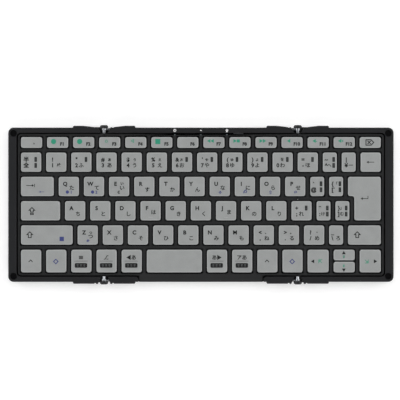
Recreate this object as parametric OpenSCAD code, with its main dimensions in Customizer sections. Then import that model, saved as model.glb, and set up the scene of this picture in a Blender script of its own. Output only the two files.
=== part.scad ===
// A three-panel folding keyboard: a middle panel and two side panels that
// turn over onto it about pins at the height of the rims.
// X runs along the key rows, Y to the rear, Z up; the feet stand on Z = 0.

/* [Keys] */
// Distance between neighbouring letter keys
key_pitch = 19.05; // [18:0.05:19.5]
// Distance between letter rows
row_pitch = 18.4; // [17.8:0.1:19]
// Space between neighbouring key caps
key_gap = 3.8; // [2.8:0.1:4.2]
// Depth of the function keys' caps
function_key_depth = 8.2; // [7.8:0.1:9.4]
// Space between the function keys and the number row
function_gap = 3.5; // [2.6:0.1:4]
// Depth of the front row's caps
front_key_depth = 17.2; // [16.5:0.1:19]
// Space between the up and the down arrow caps
arrow_gap = 1.1; // [0.8:0.1:1.4]
// Height of a cap
cap_height = 2.5; // [2.2:0.1:2.8]
// Thickness of a cap's top
cap_top_wall = 1; // [0.8:0.1:1.2]
// Thickness of a cap's skirt
cap_skirt = 1; // [0.8:0.1:1.1]
// Corner radius of a cap
cap_corner = 1.7; // [1:0.1:2]
// Bevel along a cap's top edge
cap_bevel = 0.45; // [0.3:0.05:0.6]
// How far a key goes down
key_travel = 1.5; // [1.3:0.1:1.6]
// What is left below a cap that is held down
bottom_clearance = 0.2; // [0.1:0.05:0.4]
// Gap between a cap and the deck round it
well_gap = 1; // [0.5:0.05:1.1]

/* [Case] */
// Height of the rubber feet
foot_height = 0.6; // [0.5:0.1:1.2]
// Thickness of the bottom covers
cover_wall = 1; // [0.9:0.1:1.4]
// Height of the hollow for battery and boards
cavity_height = 2.5; // [2.4:0.1:3.5]
// Thickness of the steel support plates
plate_thickness = 0.4; // [0.3:0.05:0.6]
// Thickness of the switch membranes
membrane_thickness = 0.3; // [0.2:0.05:0.4]
// Thickness of the deck
deck_web = 1; // [0.8:0.1:1.3]
// How far the caps stand above the deck
cap_rise = 1.1; // [0.8:0.1:1.3]
// How far the caps stay below the rim's top
cap_recess = 0.3; // [0.2:0.05:0.6]
// Width of the deck beside the keys
deck_border_side = 1.4; // [1.2:0.1:2.5]
// Width of the deck behind and in front of the keys
deck_border_end = 1.3; // [1.2:0.1:2]
// Thickness of the deck's skirt
skirt_wall = 1; // [0.9:0.05:1.1]
// Groove between the deck and the rim
rim_groove = 1; // [0.6:0.1:1.4]
// Width of the rim at the two sides
rim_side = 6.3; // [5.8:0.1:8]
// Width of the rim behind and in front
rim_end = 3.9; // [3.3:0.1:4.5]
// Radius of the case's outer corners
case_corner = 4.1; // [3:0.1:5]
// Radius of the rim's inner corners
rim_inner_corner = 3.3; // [2.5:0.1:3.8]
// Thickness of the covers' outer ribs
cover_rib = 1; // [0.8:0.1:1.2]
// Thickness of the covers' walls along a fold
seam_wall = 2; // [1.9:0.1:2.2]
// Gap between two panels
seam_gap = 0.5; // [0.4:0.05:0.6]
// How far the covers' gap lies beside the plates' gap
seam_lap = 0.8; // [0.7:0.05:0.9]
// Diameter of the posts below the support plates
post_d = 4; // [3:0.5:5]

/* [Hinges] */
// Key units from the end of the key field to a hinge axis
fold_units = 3.402; // [3.35:0.002:3.42]
// Height of the hinge axis above the rim's top
axis_rise = 0.1; // [0.05:0.05:0.3]
// Diameter of a hinge pin
pin_d = 2.3; // [2:0.1:2.5]
// Radial clearance of a pin that turns in its knuckle
running_clearance = 0.04; // [0.02:0.01:0.08]
// Radial clearance of a pin that is pressed in
press_clearance = 0.01; // [0.01:0.005:0.02]
// Diameter of the steel knuckle
knuckle_d = 3.5; // [3.3:0.1:4]
// Length of the steel knuckle along the pin
knuckle_length = 1.6; // [1.4:0.1:1.7]
// Diameter of the rim's eye
eye_d = 6.2; // [5.6:0.1:6.6]
// How far an eye stands out of the case
eye_reach = 1.8; // [1.6:0.1:2.6]
// Half the width of the rim's notch at its inner side
notch_in = 2.75; // [2.5:0.05:3]
// Half the width of the rim's notch at its outer side
notch_out = 4.9; // [4.6:0.1:5.2]
// Distance from the axis to a wing's far end
wing_length = 23.5; // [20:0.5:25]
// How far a wing stands out
wing_reach = 1.4; // [1:0.1:2]
// Length of the two front arms from the axis
arm_length = 25.7; // [22:0.1:30]

/* [Fasteners, magnets and feet] */
// Diameter of a screw's shank
screw_d = 1.4; // [1.2:0.1:1.6]
// Diameter of a screw's head
screw_head_d = 2.4; // [2.2:0.1:2.6]
// Height of a screw's head
screw_head_h = 0.5; // [0.4:0.05:0.6]
// Length of a screw's shank above its head
screw_length = 4.8; // [4:0.1:5.5]
// Diameter of the corner magnets
magnet_d = 5; // [4.5:0.1:5.2]
// Depth of the corner magnets
magnet_h = 1.5; // [1:0.1:2]
// Distance from the case's side to a corner magnet's centre
magnet_inset_x = 4.05; // [3.8:0.05:4.2]
// Distance from the case's front or rear to a corner magnet's centre
magnet_inset_y = 4.35; // [4.2:0.05:4.5]
// Length of the middle panel's bar magnets
bar_magnet_length = 8; // [6:0.5:10]
// Width of the middle panel's bar magnets
bar_magnet_width = 1.6; // [1.4:0.1:1.8]
// Height of the middle panel's bar magnets
bar_magnet_height = 1.5; // [1:0.1:2]
// Length of a foot
foot_length = 18; // [12:1:24]
// Width of a foot
foot_width = 6; // [4:0.5:8]

/* [Electronics] */
// Length of the main board
board_length = 72; // [60:1:80]
// Depth of the main board
board_depth = 24; // [20:1:26]
// Thickness of the main board
board_thickness = 0.8; // [0.6:0.1:1]
// Length of the battery
battery_length = 50; // [40:1:60]
// Depth of the battery
battery_depth = 34; // [28:1:36]
// Thickness of the battery
battery_thickness = 2.2; // [1.8:0.1:2.3]
// Width of the charging socket
socket_width = 7.5; // [7:0.1:8]
// Length of the charging socket
socket_length = 5.4; // [5:0.1:5.6]
// Diameter of a status light
light_d = 0.7; // [0.6:0.05:0.8]
// Distance between the status lights
light_pitch = 19.7; // [16:0.1:22]
// Width of the ribbon cables
ribbon_width = 8; // [6:0.5:10]
// Thickness of the ribbon cables
ribbon_thickness = 0.25; // [0.2:0.05:0.3]

/* [Hidden] */

// Colours as the photograph shows them
cap_grey = "#9a9c9c";
deck_charcoal = "#303133";
rim_black = "#26272a";
steel = "#b9bcc0";
rubber_black = "#141416";

// Key layout in key units, rear row first
field_units = 14.5;
function_count = 14;
function_unit = field_units/function_count;
front_units = [1, 1, 1, 1, 1, field_units - 9 - 3*function_unit, 1, 1, 1, 1,
    function_unit, function_unit, function_unit];
row_units = [
    [for (i = [1:function_count]) function_unit],
    [1, 1, 1, 1, 1, 1, 1, 1, 1, 1, 1, 1, 0.75, 0.75, 1],
    [1.5, 1, 1, 1, 1, 1, 1, 1, 1, 1, 1, 0.75, 0.75],
    [1.75, 1, 1, 1, 1, 1, 1, 1, 1, 1, 1, 0.75, 0.75],
    [2.25, 1, 1, 1, 1, 1, 1, 1, 1, 1, 1, 0.75, 1.5],
    front_units
];
// The first key of each row that belongs to the middle and to the right panel
first_centre = [3, 3, 3, 3, 2, 3];
first_right = [11, 11, 11, 10, 10, 10];
space_index = 5;
arrow_index = 11;
enter_upper_unit = 13;
enter_lower_unit = 13.25;
LEFT = 0;
CENTRE = 1;
RIGHT = 2;

// Where each fold crosses the five deck strips, from its axis towards the middle
seam_cross = [[-5.2, -1.2, -1.2, 2.4, 2.1], [-1.7, -1.6, -0.1, 2.1, 2.1]];

// Plan sizes
row_depth = [function_key_depth, row_pitch - key_gap, row_pitch - key_gap,
    row_pitch - key_gap, row_pitch - key_gap, front_key_depth];
field_depth = function_key_depth + function_gap + 4*row_pitch + front_key_depth;
field_x = (field_units*key_pitch - key_gap)/2;
deck_x = field_x + well_gap + deck_border_side;
deck_y = field_depth/2 + well_gap + deck_border_end;
rim_x = deck_x + rim_groove;
rim_y = deck_y + rim_groove;
case_x = rim_x + rim_side;
case_y = rim_y + rim_end;
deck_corner = rim_inner_corner - rim_groove;
hinge_x = field_x + key_gap/2 - fold_units*key_pitch;
lip_x = hinge_x - arm_length - rim_groove;

// Heights
cover_top = foot_height + cover_wall;
plate_z = cover_top + cavity_height;
plate_top = plate_z + plate_thickness;
membrane_top = plate_top + membrane_thickness;
cap_z = membrane_top + key_travel + bottom_clearance;
cap_top = cap_z + cap_height;
cap_ceiling = cap_top - cap_top_wall;
rim_top = cap_top + cap_recess;
axis_z = rim_top + axis_rise;
deck_top = cap_top - cap_rise;
deck_z = deck_top - deck_web;
// Largest distance from a hinge axis at which a panel's nose stays above the feet
fold_r = axis_z - foot_height;
slack = 0.1;
eps = 0.01;

// Fold outline kinds: the deck follows every strip, plates, films and covers only the keys. Covers
// part a lap's width further from the axis, so that the gap between two panels can't be seen through
DECK_SEAM = 0;
COVER_SEAM = 1;
PLATE_SEAM = 2;
FILM_SEAM = 3;

function unit_x(u) = key_pitch*u - field_x - key_gap/2;
function start_unit(row, i) = i == 0 ? 0 : start_unit(row, i - 1) + row_units[row][i - 1];
function row_top(row) = row == 0 ? field_depth/2
    : field_depth/2 - function_key_depth - function_gap - (row - 1)*row_pitch;
function row_bottom(row) = row_top(row) - row_depth[row];
function first_key(row, panel) = panel == LEFT ? 0 : panel == CENTRE ? first_centre[row] : first_right[row];
function end_key(row, panel) = panel == LEFT ? first_centre[row]
    : panel == CENTRE ? first_right[row] : len(row_units[row]);
// A cap's footprint as [low x, low y, high x, high y]
function key_box(row, i) = [unit_x(start_unit(row, i)) + key_gap/2, row_bottom(row),
    unit_x(start_unit(row, i) + row_units[row][i]) - key_gap/2, row_top(row)];
function upper_half(b) = [b[0], (b[1] + b[3] + arrow_gap)/2, b[2], b[3]];
function lower_half(b) = [b[0], b[1], b[2], (b[1] + b[3] - arrow_gap)/2];
// All footprints of one panel's row, without space bar and enter key
function row_boxes(row, panel) = [for (i = [first_key(row, panel):end_key(row, panel) - 1])
    each row == 5 && i == arrow_index ? [upper_half(key_box(row, i)), lower_half(key_box(row, i))]
    : row == 5 && i == space_index ? [] : [key_box(row, i)]];
space_box = key_box(5, space_index);
enter_box = [unit_x(enter_lower_unit) + key_gap/2, row_bottom(3), field_x, row_top(2)];
enter_step = [unit_x(enter_upper_unit) + key_gap/2, row_bottom(2)];
function panel_boxes(panel) = [for (row = [0:5]) each row_boxes(row, panel)];

function arc(cx, cy, r, a0, a1, n = 6) =
    [for (i = [0:n]) let (a = a0 + (a1 - a0)*i/n) [cx + r*cos(a), cy + r*sin(a)]];
function rounded(b, r, n = 3) = concat(arc(b[2] - r, b[3] - r, r, 0, 90, n),
    arc(b[0] + r, b[3] - r, r, 90, 180, n), arc(b[0] + r, b[1] + r, r, 180, 270, n),
    arc(b[2] - r, b[1] + r, r, 270, 360, n));
function grown(b, d) = [b[0] - d, b[1] - d, b[2] + d, b[3] + d];
function reversed(list) = [for (i = [len(list) - 1:-1:0]) list[i]];
function mirrored(list) = [for (p = list) [-p[0], p[1]]];

// The unit at which each row divides, counted from the panel's own side
seam_units = [[for (row = [0:5]) start_unit(row, first_centre[row])],
    [for (row = [0:5]) field_units - start_unit(row, first_right[row])]];
// In a row the fold runs in the gap beside the key that crosses the axis
function row_seam(k, row) = unit_x(seam_units[k][row])
    + (seam_units[k][row] < fold_units ? 1 : -1)*(key_gap - well_gap)/2;
function near_seam(k, i) = let (a = row_seam(k, i) + hinge_x, b = row_seam(k, i + 1) + hinge_x)
    a*b < 0 ? -hinge_x : (abs(a) < abs(b) ? a : b) - hinge_x;
function band_x(k, band, kind) = band % 2 == 1 ? row_seam(k, 5 - (band - 1)/2)
    : band == 0 || band == 12 ? (kind == FILM_SEAM ? row_seam(k, band == 0 ? 5 : 0) : -hinge_x)
    : kind == DECK_SEAM ? seam_cross[k][5 - band/2] - hinge_x : near_seam(k, 5 - band/2);
function lap(k, band_a, band_b, kind) = kind != COVER_SEAM ? 0
    : band_x(k, band_a, kind) + band_x(k, band_b, kind) + 2*hinge_x > eps ? seam_lap : -seam_lap;
function edge_y(k, edge, kind, off) = (edge % 2 == 0 ? row_bottom(5 - edge/2) - well_gap/2
    : row_top(5 - (edge - 1)/2) + well_gap/2) - (off + lap(k, edge, edge + 1, kind))
    *sign(band_x(k, edge + 1, kind) - band_x(k, edge, kind));
function raw_seam(k, off, kind, y_end) = [for (band = [0:12])
    let (x = band_x(k, band, kind) + lap(k, band, band, kind) + off,
        low = band == 0 ? -y_end : max(edge_y(k, band - 1, kind, off), -y_end),
        high = band == 12 ? y_end : min(edge_y(k, band, kind, off), y_end))
    if (high > low + eps) each [[x, low], [x, high]]];
function corner_only(list) = [for (i = [0:len(list) - 1])
    if (i == 0 || i == len(list) - 1 || abs(list[i][0] - list[i - 1][0]) > eps
        || abs(list[i][0] - list[i + 1][0]) > eps) list[i]];
// A fold's outline from front to rear, seen as if its side panel were the left one
function seam_line(k, off, kind, y_end) = corner_only(raw_seam(k, off, kind, y_end));

function side_outline(k, x_end, y_end, r, off, kind) = concat(
    arc(r - x_end, y_end - r, r, 90, 180), arc(r - x_end, r - y_end, r, 180, 270),
    seam_line(k, off, kind, y_end));
function centre_outline(y_end, off, kind) = concat(mirrored(seam_line(1, off, kind, y_end)),
    reversed(seam_line(0, off, kind, y_end)));

// A panel's outline at a distance inside its deck's outline
function panel_outline(panel, inset, seam_inset, kind) = panel == CENTRE
    ? centre_outline(deck_y - inset, seam_gap/2 + seam_inset, kind)
    : side_outline(panel == LEFT ? 0 : 1, deck_x - inset, deck_y - inset,
        max(deck_corner - inset, 0.5), -seam_gap/2 - seam_inset, kind);

// Side panels are drawn as left ones, and the right one is their mirror image
module on_side(panel) {
    if (panel == RIGHT) mirror([1, 0, 0]) children();
    else children();
}

module front_and_rear() {
    children();
    mirror([0, 1, 0]) children();
}

module at_both_hinges() {
    children();
    mirror([1, 0, 0]) children();
}

module slab(points, z0, z1) {
    translate([0, 0, z0]) linear_extrude(z1 - z0) polygon(points);
}

module block(x0, x1, y0, y1, z0, z1) {
    translate([x0, y0, z0]) cube([x1 - x0, y1 - y0, z1 - z0]);
}

// What is cut off below a panel's nose, so that it turns clear of the table
module nose_cut(direction) {
    reach = 8;
    steps = [0, 1.6, 3.2, 4.6, 5.8, 6.9];
    profile = concat([for (d = steps) [direction*d, axis_z - sqrt(fold_r*fold_r - d*d)]],
        [[direction*reach, axis_z - sqrt(fold_r*fold_r - reach*reach)],
        [direction*reach, -1], [0, -1]]);
    translate([-hinge_x, case_y + 1, 0]) rotate([90, 0, 0])
        linear_extrude(2*case_y + 2) polygon(direction > 0 ? reversed(profile) : profile);
}

// Pins, knuckles and eyes lie along Y; the profile is [radius, y]
module along_y(profile) {
    translate([-hinge_x, 0, axis_z]) rotate([-90, 0, 0]) rotate_extrude($fn = 48) polygon(profile);
}

/* Screws */
side_screws = [[-hinge_x - 30, case_y - rim_end/2], [12 - case_x, case_y - rim_end/2],
    [rim_side/2 - case_x, 25]];
leaf_screw = [8 - hinge_x, case_y - rim_end/2];
rail_screws = [leaf_screw, [20, case_y - rim_end/2]];
arm_screws = [leaf_screw, [arm_length - 4 - hinge_x, case_y - rim_end/2]];
function both_ends(list) = concat(list, [for (p = list) [p[0], -p[1]]]);
centre_screw_places = concat(rail_screws, mirrored(rail_screws),
    [for (p = concat(arm_screws, mirrored(arm_screws))) [p[0], -p[1]]]);

module screw_profile(place, grow, head_grow, low, shank_top) {
    head_top = foot_height + screw_head_h + head_grow/2;
    translate([place[0], place[1], 0]) rotate_extrude($fn = 32) polygon([
        [0, low], [screw_head_d/2 + head_grow, low], [screw_head_d/2 + head_grow, head_top],
        [screw_d/2 + grow, head_top], [screw_d/2 + grow, shank_top], [0, shank_top]]);
}

screw_top = foot_height + screw_head_h + screw_length;
module screws(places) {
    color(steel) for (p = places) screw_profile(p, 0, 0, foot_height + slack/2, screw_top);
}

module screw_holes(places) {
    for (p = places) screw_profile(p, slack, slack, foot_height - 1, cover_top + 1);
}

module screw_bores(places) {
    for (p = places) translate([p[0], p[1], cover_top - 1])
        cylinder(d = screw_d + 2*press_clearance, h = screw_top - cover_top + 1.3, $fn = 32);
}

/* Key caps */
module cap_body(b, points) {
    middle = cap_top - cap_bevel;
    intersection() {
        slab(points, cap_z, cap_top);
        translate([0, b[3] + 1, 0]) rotate([90, 0, 0]) linear_extrude(b[3] - b[1] + 2) polygon([
            [b[0], cap_z - 1], [b[2], cap_z - 1], [b[2], middle], [b[2] - cap_bevel, cap_top],
            [b[2] - cap_bevel, cap_top + 1], [b[0] + cap_bevel, cap_top + 1],
            [b[0] + cap_bevel, cap_top], [b[0], middle]]);
        translate([b[0] - 1, 0, 0]) rotate([90, 0, 90]) linear_extrude(b[2] - b[0] + 2) polygon([
            [b[1], cap_z - 1], [b[3], cap_z - 1], [b[3], middle], [b[3] - cap_bevel, cap_top],
            [b[3] - cap_bevel, cap_top + 1], [b[1] + cap_bevel, cap_top + 1],
            [b[1] + cap_bevel, cap_top], [b[1], middle]]);
    }
}

module cap(b) {
    color(cap_grey) difference() {
        cap_body(b, rounded(b, cap_corner));
        block(b[0] + cap_skirt, b[2] - cap_skirt, b[1] + cap_skirt, b[3] - cap_skirt,
            cap_z - 1, cap_ceiling);
    }
}

module caps(row, panel) {
    for (b = row_boxes(row, panel)) cap(b);
}

// The enter key's outline: a wide upper part over a narrower lower part
function enter_outline(d, r) = let (b = grown(enter_box, d), s = [enter_step[0] - d, enter_step[1] - d])
    concat(arc(b[2] - r, b[3] - r, r, 0, 90, 3), arc(s[0] + r, b[3] - r, r, 90, 180, 3),
        arc(s[0] + r, s[1] + r, r, 180, 270, 3), [[b[0], s[1]]],
        arc(b[0] + r, b[1] + r, r, 180, 270, 3), arc(b[2] - r, b[1] + r, r, 270, 360, 3));

module enter_key() {
    whole = [enter_step[0], enter_box[1], enter_box[2], enter_box[3]];
    color(cap_grey) difference() {
        cap_body(whole, enter_outline(0, cap_corner));
        block(enter_box[0] + cap_skirt, enter_box[2] - cap_skirt, enter_box[1] + cap_skirt,
            enter_box[3] - cap_skirt, cap_z - 1, cap_ceiling);
    }
}

module space_bar() {
    cap(space_box);
}

/* Mechanisms below the caps */
bar = 0.7;
leg_length = 8.5;
narrowest_key = 0.75*key_pitch - key_gap;
shallowest_key = min(function_key_depth, (front_key_depth - arrow_gap)/2);
leg_width = narrowest_key - 2*cap_skirt - 2*slack;
narrow_leg_width = shallowest_key - 2*cap_skirt - 2*slack;
leg_angle = asin((cap_ceiling - membrane_top - 2*slack - bar)/leg_length);
dome_top_d = 2;
function is_shallow(b) = b[3] - b[1] < 12;
wide_key = 1.8*key_pitch;
function is_wide(b) = b[2] - b[0] > wide_key;
function box_centre(b) = [(b[0] + b[2])/2, (b[1] + b[3])/2];

module scissor_frame(length, width, angle) {
    rotate([angle, 0, 0]) difference() {
        cube([width, length, bar], center = true);
        cube([width - 2*bar, length - 2*bar, 2*bar], center = true);
    }
}

module scissor(place, width, turned) {
    translate([place[0], place[1], (membrane_top + cap_ceiling)/2]) rotate([0, 0, turned ? 90 : 0]) {
        scissor_frame(leg_length, width, leg_angle);
        scissor_frame(leg_length, width - 2*bar - 2*slack, -leg_angle);
    }
}

module scissors(boxes) {
    color("#e8e8e4") for (b = boxes) {
        shift = is_wide(b) ? (b[2] - b[0])/2 - cap_skirt - leg_width/2 - 3.5 : 0;
        for (dx = is_wide(b) ? [-shift, shift] : [0])
            scissor(box_centre(b) + [dx, 0], is_shallow(b) ? narrow_leg_width : leg_width, is_shallow(b));
    }
}

module domes(boxes) {
    color("#c9cac6") for (b = boxes) {
        width = is_shallow(b) ? narrow_leg_width : leg_width;
        base_d = width - 4*bar - 4*slack;
        translate([box_centre(b)[0], box_centre(b)[1], membrane_top])
            cylinder(d1 = base_d, d2 = min(dome_top_d, base_d/2),
                h = cap_ceiling - membrane_top - slack, $fn = 32);
    }
}

/* Decks */
module deck_windows(panel) {
    r = cap_corner - 2*slack;
    for (b = panel_boxes(panel)) slab(rounded(grown(b, well_gap), r), deck_z - 1, deck_top + 1);
    if (panel == CENTRE) slab(rounded(grown(space_box, well_gap), r), deck_z - 1, deck_top + 1);
    if (panel == RIGHT) slab(enter_outline(well_gap, r), deck_z - 1, deck_top + 1);
    if (panel == RIGHT) slab(rounded(grown(key_box(5, arrow_index), well_gap), r),
        deck_z - 1, deck_top + 1);
}

module deck_skirt(panel) {
    difference() {
        on_side(panel) slab(panel_outline(panel, 0, 0, PLATE_SEAM), plate_top, deck_z);
        side = panel == CENTRE ? case_x : deck_x - skirt_wall;
        block(panel == RIGHT ? -case_x : -side, panel == LEFT ? case_x : side,
            skirt_wall - deck_y, deck_y - skirt_wall, plate_top - 1, deck_z + eps);
    }
}

module side_deck(panel) {
    color(deck_charcoal) difference() {
        union() {
            on_side(panel) slab(panel_outline(panel, 0, 0, DECK_SEAM), deck_z, deck_top);
            deck_skirt(panel);
        }
        deck_windows(panel);
    }
}

light_places = [for (i = [-1:1]) [i*light_pitch, deck_y - skirt_wall/2]];
lip_wall = 1.2;

module centre_deck() {
    color(deck_charcoal) difference() {
        union() {
            slab(panel_outline(CENTRE, 0, 0, DECK_SEAM), deck_z, deck_top);
            deck_skirt(CENTRE);
            block(-lip_x, lip_x, -case_y, -deck_y + skirt_wall, deck_z, deck_top);
            block(-lip_x, lip_x, -case_y, lip_wall - case_y, cover_top, deck_z + eps);
        }
        deck_windows(CENTRE);
        for (p = light_places) translate([p[0], p[1], plate_top - 1])
            cylinder(d = light_d + 2*press_clearance, h = deck_top - plate_top + 2, $fn = 24);
    }
}

/* Plates and membranes */
module support_plate(panel) {
    color(steel) on_side(panel) slab(panel_outline(panel, slack, slack, PLATE_SEAM), plate_z, plate_top);
}

module membrane(panel) {
    color("#3c4a44") on_side(panel)
        slab(panel_outline(panel, deck_border_end + well_gap, slack, FILM_SEAM), plate_top, membrane_top);
}

/* Bottom covers */
ribbon_y = (row_top(4) + row_bottom(4))/2;
ribbon_z = cover_top + 0.7;
side_posts = [[-120, 35], [-120, -35], [-92, 40], [-92, -42], [-106, 0]];
centre_posts = [[-50, 40], [50, 40], [-50, -45], [50, -45], [-50, 5], [50, 5], [0, 16]];
socket_x = board_length/2 - socket_width;

module cover_walls(panel) {
    difference() {
        slab(panel_outline(panel, 0, 0, COVER_SEAM), cover_top - eps, plate_z);
        slab(panel_outline(panel, cover_rib, seam_wall, COVER_SEAM), cover_top - 2*eps, plate_z + 1);
    }
}

module posts(places) {
    for (p = places) translate([p[0], p[1], cover_top - eps])
        cylinder(d = post_d, h = plate_z - cover_top + eps, $fn = 32);
}

module ribbon_slot() {
    block(-hinge_x - 9, -hinge_x + 9, ribbon_y - ribbon_width/2 - 2*slack,
        ribbon_y + ribbon_width/2 + 2*slack, ribbon_z - 2*slack, plate_z - 4*slack);
}

module side_cover(panel) {
    k = panel == LEFT ? 0 : 1;
    color(rim_black) on_side(panel) difference() {
        union() {
            slab(side_outline(k, case_x, case_y, case_corner, -seam_gap/2, COVER_SEAM),
                foot_height, cover_top);
            cover_walls(panel);
            posts(side_posts);
        }
        nose_cut(1);
        ribbon_slot();
        screw_holes(both_ends(side_screws));
    }
}

module centre_bottom_cover() {
    color(rim_black) difference() {
        union() {
            slab(centre_outline(case_y, seam_gap/2, COVER_SEAM), foot_height, cover_top);
            cover_walls(CENTRE);
            posts(centre_posts);
        }
        at_both_hinges() {
            nose_cut(-1);
            ribbon_slot();
        }
        screw_holes(centre_screw_places);
        block(socket_x - socket_width/2 - slack, socket_x + socket_width/2 + slack,
            deck_y - cover_rib - 1, case_y, cover_top, plate_z + 1);
    }
}

/* Rims and hinges */
eye_y = case_y - 0.45;
eye_end = case_y + eye_reach;
eye_bevel = 0.8;
knuckle_y = eye_y - slack - knuckle_length;
lug = 0.3;
wing_low = 0.4;
wing_full = 16;
front_lug = eye_reach - 0.2;
front_nick = wing_reach - 0.6;
wing_end = [[wing_length - 0.5, wing_reach], [wing_length, wing_reach - 0.5], [wing_length, 0]];
// The outside of a rim beside its hinge: [distance from the axis, distance out of the case]
rear_wing = concat([[notch_in, -rim_end], [notch_out, -0.35], [notch_out, lug], [5.8, lug], [6.3, 0],
    [7.4, 0], [7.5, wing_low], [wing_full, wing_reach]], wing_end);
front_wing = concat([[notch_in, -rim_end], [notch_out, front_lug], [5.8, front_lug],
    [6.3, front_nick], [7.4, front_nick], [7.5, wing_reach]], wing_end);
function wing(sy) = sy > 0 ? rear_wing : front_wing;
function left_wing(sy) = [for (p = wing(sy)) [-hinge_x - p[0], sy*(case_y + p[1])]];
function inner_wing(sy) = [for (p = wing(sy)) [p[0] - hinge_x, sy*(case_y + p[1])]];

module eye() {
    along_y([[0, eye_y], [eye_d/2, eye_y], [eye_d/2, eye_end - eye_bevel],
        [eye_d/2 - eye_bevel, eye_end], [0, eye_end]]);
    block(-hinge_x - 7, -hinge_x, eye_y, case_y + lug, axis_z - eye_d/2 + 0.7, rim_top);
}

module rim_frame(panel) {
    ri = rim_inner_corner;
    color(rim_black) on_side(panel) difference() {
        union() {
            slab(concat(left_wing(1), arc(case_corner - case_x, case_y - case_corner, case_corner, 90, 180),
                arc(case_corner - case_x, case_corner - case_y, case_corner, 180, 270),
                reversed(left_wing(-1)), arc(ri - rim_x, ri - rim_y, ri, 270, 180),
                arc(ri - rim_x, rim_y - ri, ri, 180, 90)), cover_top, rim_top);
            front_and_rear() eye();
        }
        front_and_rear() {
            along_y([[0, eye_y - 1], [pin_d/2 + press_clearance, eye_y - 1],
                [pin_d/2 + press_clearance, eye_end + 1], [0, eye_end + 1]]);
            translate([magnet_inset_x - case_x, case_y - magnet_inset_y, rim_top - magnet_h])
                cylinder(d = magnet_d + 2*slack, h = magnet_h + 1, $fn = 48);
        }
        screw_bores(both_ends(side_screws));
    }
}

module hinge_pins(panel) {
    color(steel) on_side(panel) front_and_rear()
        along_y([[0, rim_y - 0.45], [pin_d/2, rim_y - 0.45], [pin_d/2, eye_end - 0.2],
            [0, eye_end - 0.2]]);
}

module corner_magnets(panel) {
    color(rubber_black) on_side(panel) front_and_rear()
        translate([magnet_inset_x - case_x, case_y - magnet_inset_y, rim_top - magnet_h])
            cylinder(d = magnet_d, h = magnet_h - slack/2, $fn = 48);
}

leaf_foot = 13;
leaf_foot_h = 1.2;
leaf_leg = [0.3, 1.3];

module leaf_slot() {
    block(-hinge_x, leaf_foot + 2*slack - hinge_x, knuckle_y - slack,
        knuckle_y + knuckle_length + slack, cover_top - 1, cover_top + leaf_foot_h + slack);
}

module hinge_leaves() {
    color(steel) at_both_hinges() front_and_rear() difference() {
        union() {
            along_y([[0, knuckle_y], [knuckle_d/2, knuckle_y],
                [knuckle_d/2, knuckle_y + knuckle_length], [0, knuckle_y + knuckle_length]]);
            block(leaf_leg[0] - hinge_x, leaf_leg[1] - hinge_x, knuckle_y,
                knuckle_y + knuckle_length, cover_top, axis_z);
            block(leaf_leg[0] - hinge_x, leaf_foot - hinge_x, knuckle_y,
                knuckle_y + knuckle_length, cover_top, cover_top + leaf_foot_h);
        }
        along_y([[0, knuckle_y - 1], [pin_d/2 + running_clearance, knuckle_y - 1],
            [pin_d/2 + running_clearance, knuckle_y + knuckle_length + 1],
            [0, knuckle_y + knuckle_length + 1]]);
        translate([leaf_screw[0], leaf_screw[1], cover_top - 1])
            cylinder(d = screw_d + 2*press_clearance, h = leaf_foot_h + 2, $fn = 32);
    }
}

bar_magnet_x = 2*hinge_x - case_x + magnet_inset_x;
bar_magnet_y = case_y - rim_end/2;

module bar_magnets(grow, depth) {
    at_both_hinges() block(-abs(bar_magnet_x) - bar_magnet_length/2 - grow,
        -abs(bar_magnet_x) + bar_magnet_length/2 + grow, bar_magnet_y - bar_magnet_width/2 - grow,
        bar_magnet_y + bar_magnet_width/2 + grow, depth, rim_top - 1);
}

module rear_rail() {
    color(rim_black) difference() {
        slab(concat(mirrored(inner_wing(1)), reversed(inner_wing(1))), cover_top, rim_top);
        at_both_hinges() leaf_slot();
        screw_bores(concat(rail_screws, mirrored(rail_screws)));
        bar_magnets(press_clearance, cover_top - 1);
        block(socket_x - socket_width/2 - slack, socket_x + socket_width/2 + slack,
            rim_y - 1, case_y + 1, cover_top - 1, plate_z + slack);
    }
}

module front_hinge_arms() {
    end_x = arm_length - hinge_x;
    r = 2;
    color(rim_black) at_both_hinges() difference() {
        slab(concat(inner_wing(-1), [[end_x, -case_y]], arc(end_x - r, -rim_y - r, r, 0, 90)),
            cover_top, rim_top);
        mirror([0, 1, 0]) leaf_slot();
        screw_bores([for (p = arm_screws) [p[0], -p[1]]]);
    }
}

module closing_magnets() {
    color("#8d9094") {
        bar_magnets(0, rim_top - 1 - bar_magnet_height);
        at_both_hinges() block(-abs(bar_magnet_x) - bar_magnet_length/2,
            -abs(bar_magnet_x) + bar_magnet_length/2, lip_wall - case_y + slack,
            lip_wall - case_y + slack + bar_magnet_width, deck_z - bar_magnet_height, deck_z);
    }
}

/* Feet */
side_feet = [20 - case_x, case_y - 9];
centre_feet_place = [50, case_y - 9];

module foot(x, y) {
    r = foot_width/2;
    slab(concat(arc(x + foot_length/2 - r, y, r, -90, 90, 12),
        arc(x - foot_length/2 + r, y, r, 90, 270, 12)), 0, foot_height);
}

module feet(panel) {
    color(rubber_black) front_and_rear() {
        if (panel == CENTRE) at_both_hinges() foot(centre_feet_place[0], centre_feet_place[1]);
        else on_side(panel) foot(side_feet[0], side_feet[1]);
    }
}

/* Electronics */
board_rear = deck_y - cover_rib - 2*slack;
board_z = cover_top + 0.3;
chip_h = 0.9;
// Each chip's left side, distance from the board's rear edge, width and depth
chips = [[-20, 8, 7, 7], [4, 9, 5, 5], [-32, 16, 6, 4]];
connector_length = 8;
connector_depth = 3;
connector_inset = 2;
battery_front = 7.35 - deck_y;

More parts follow.
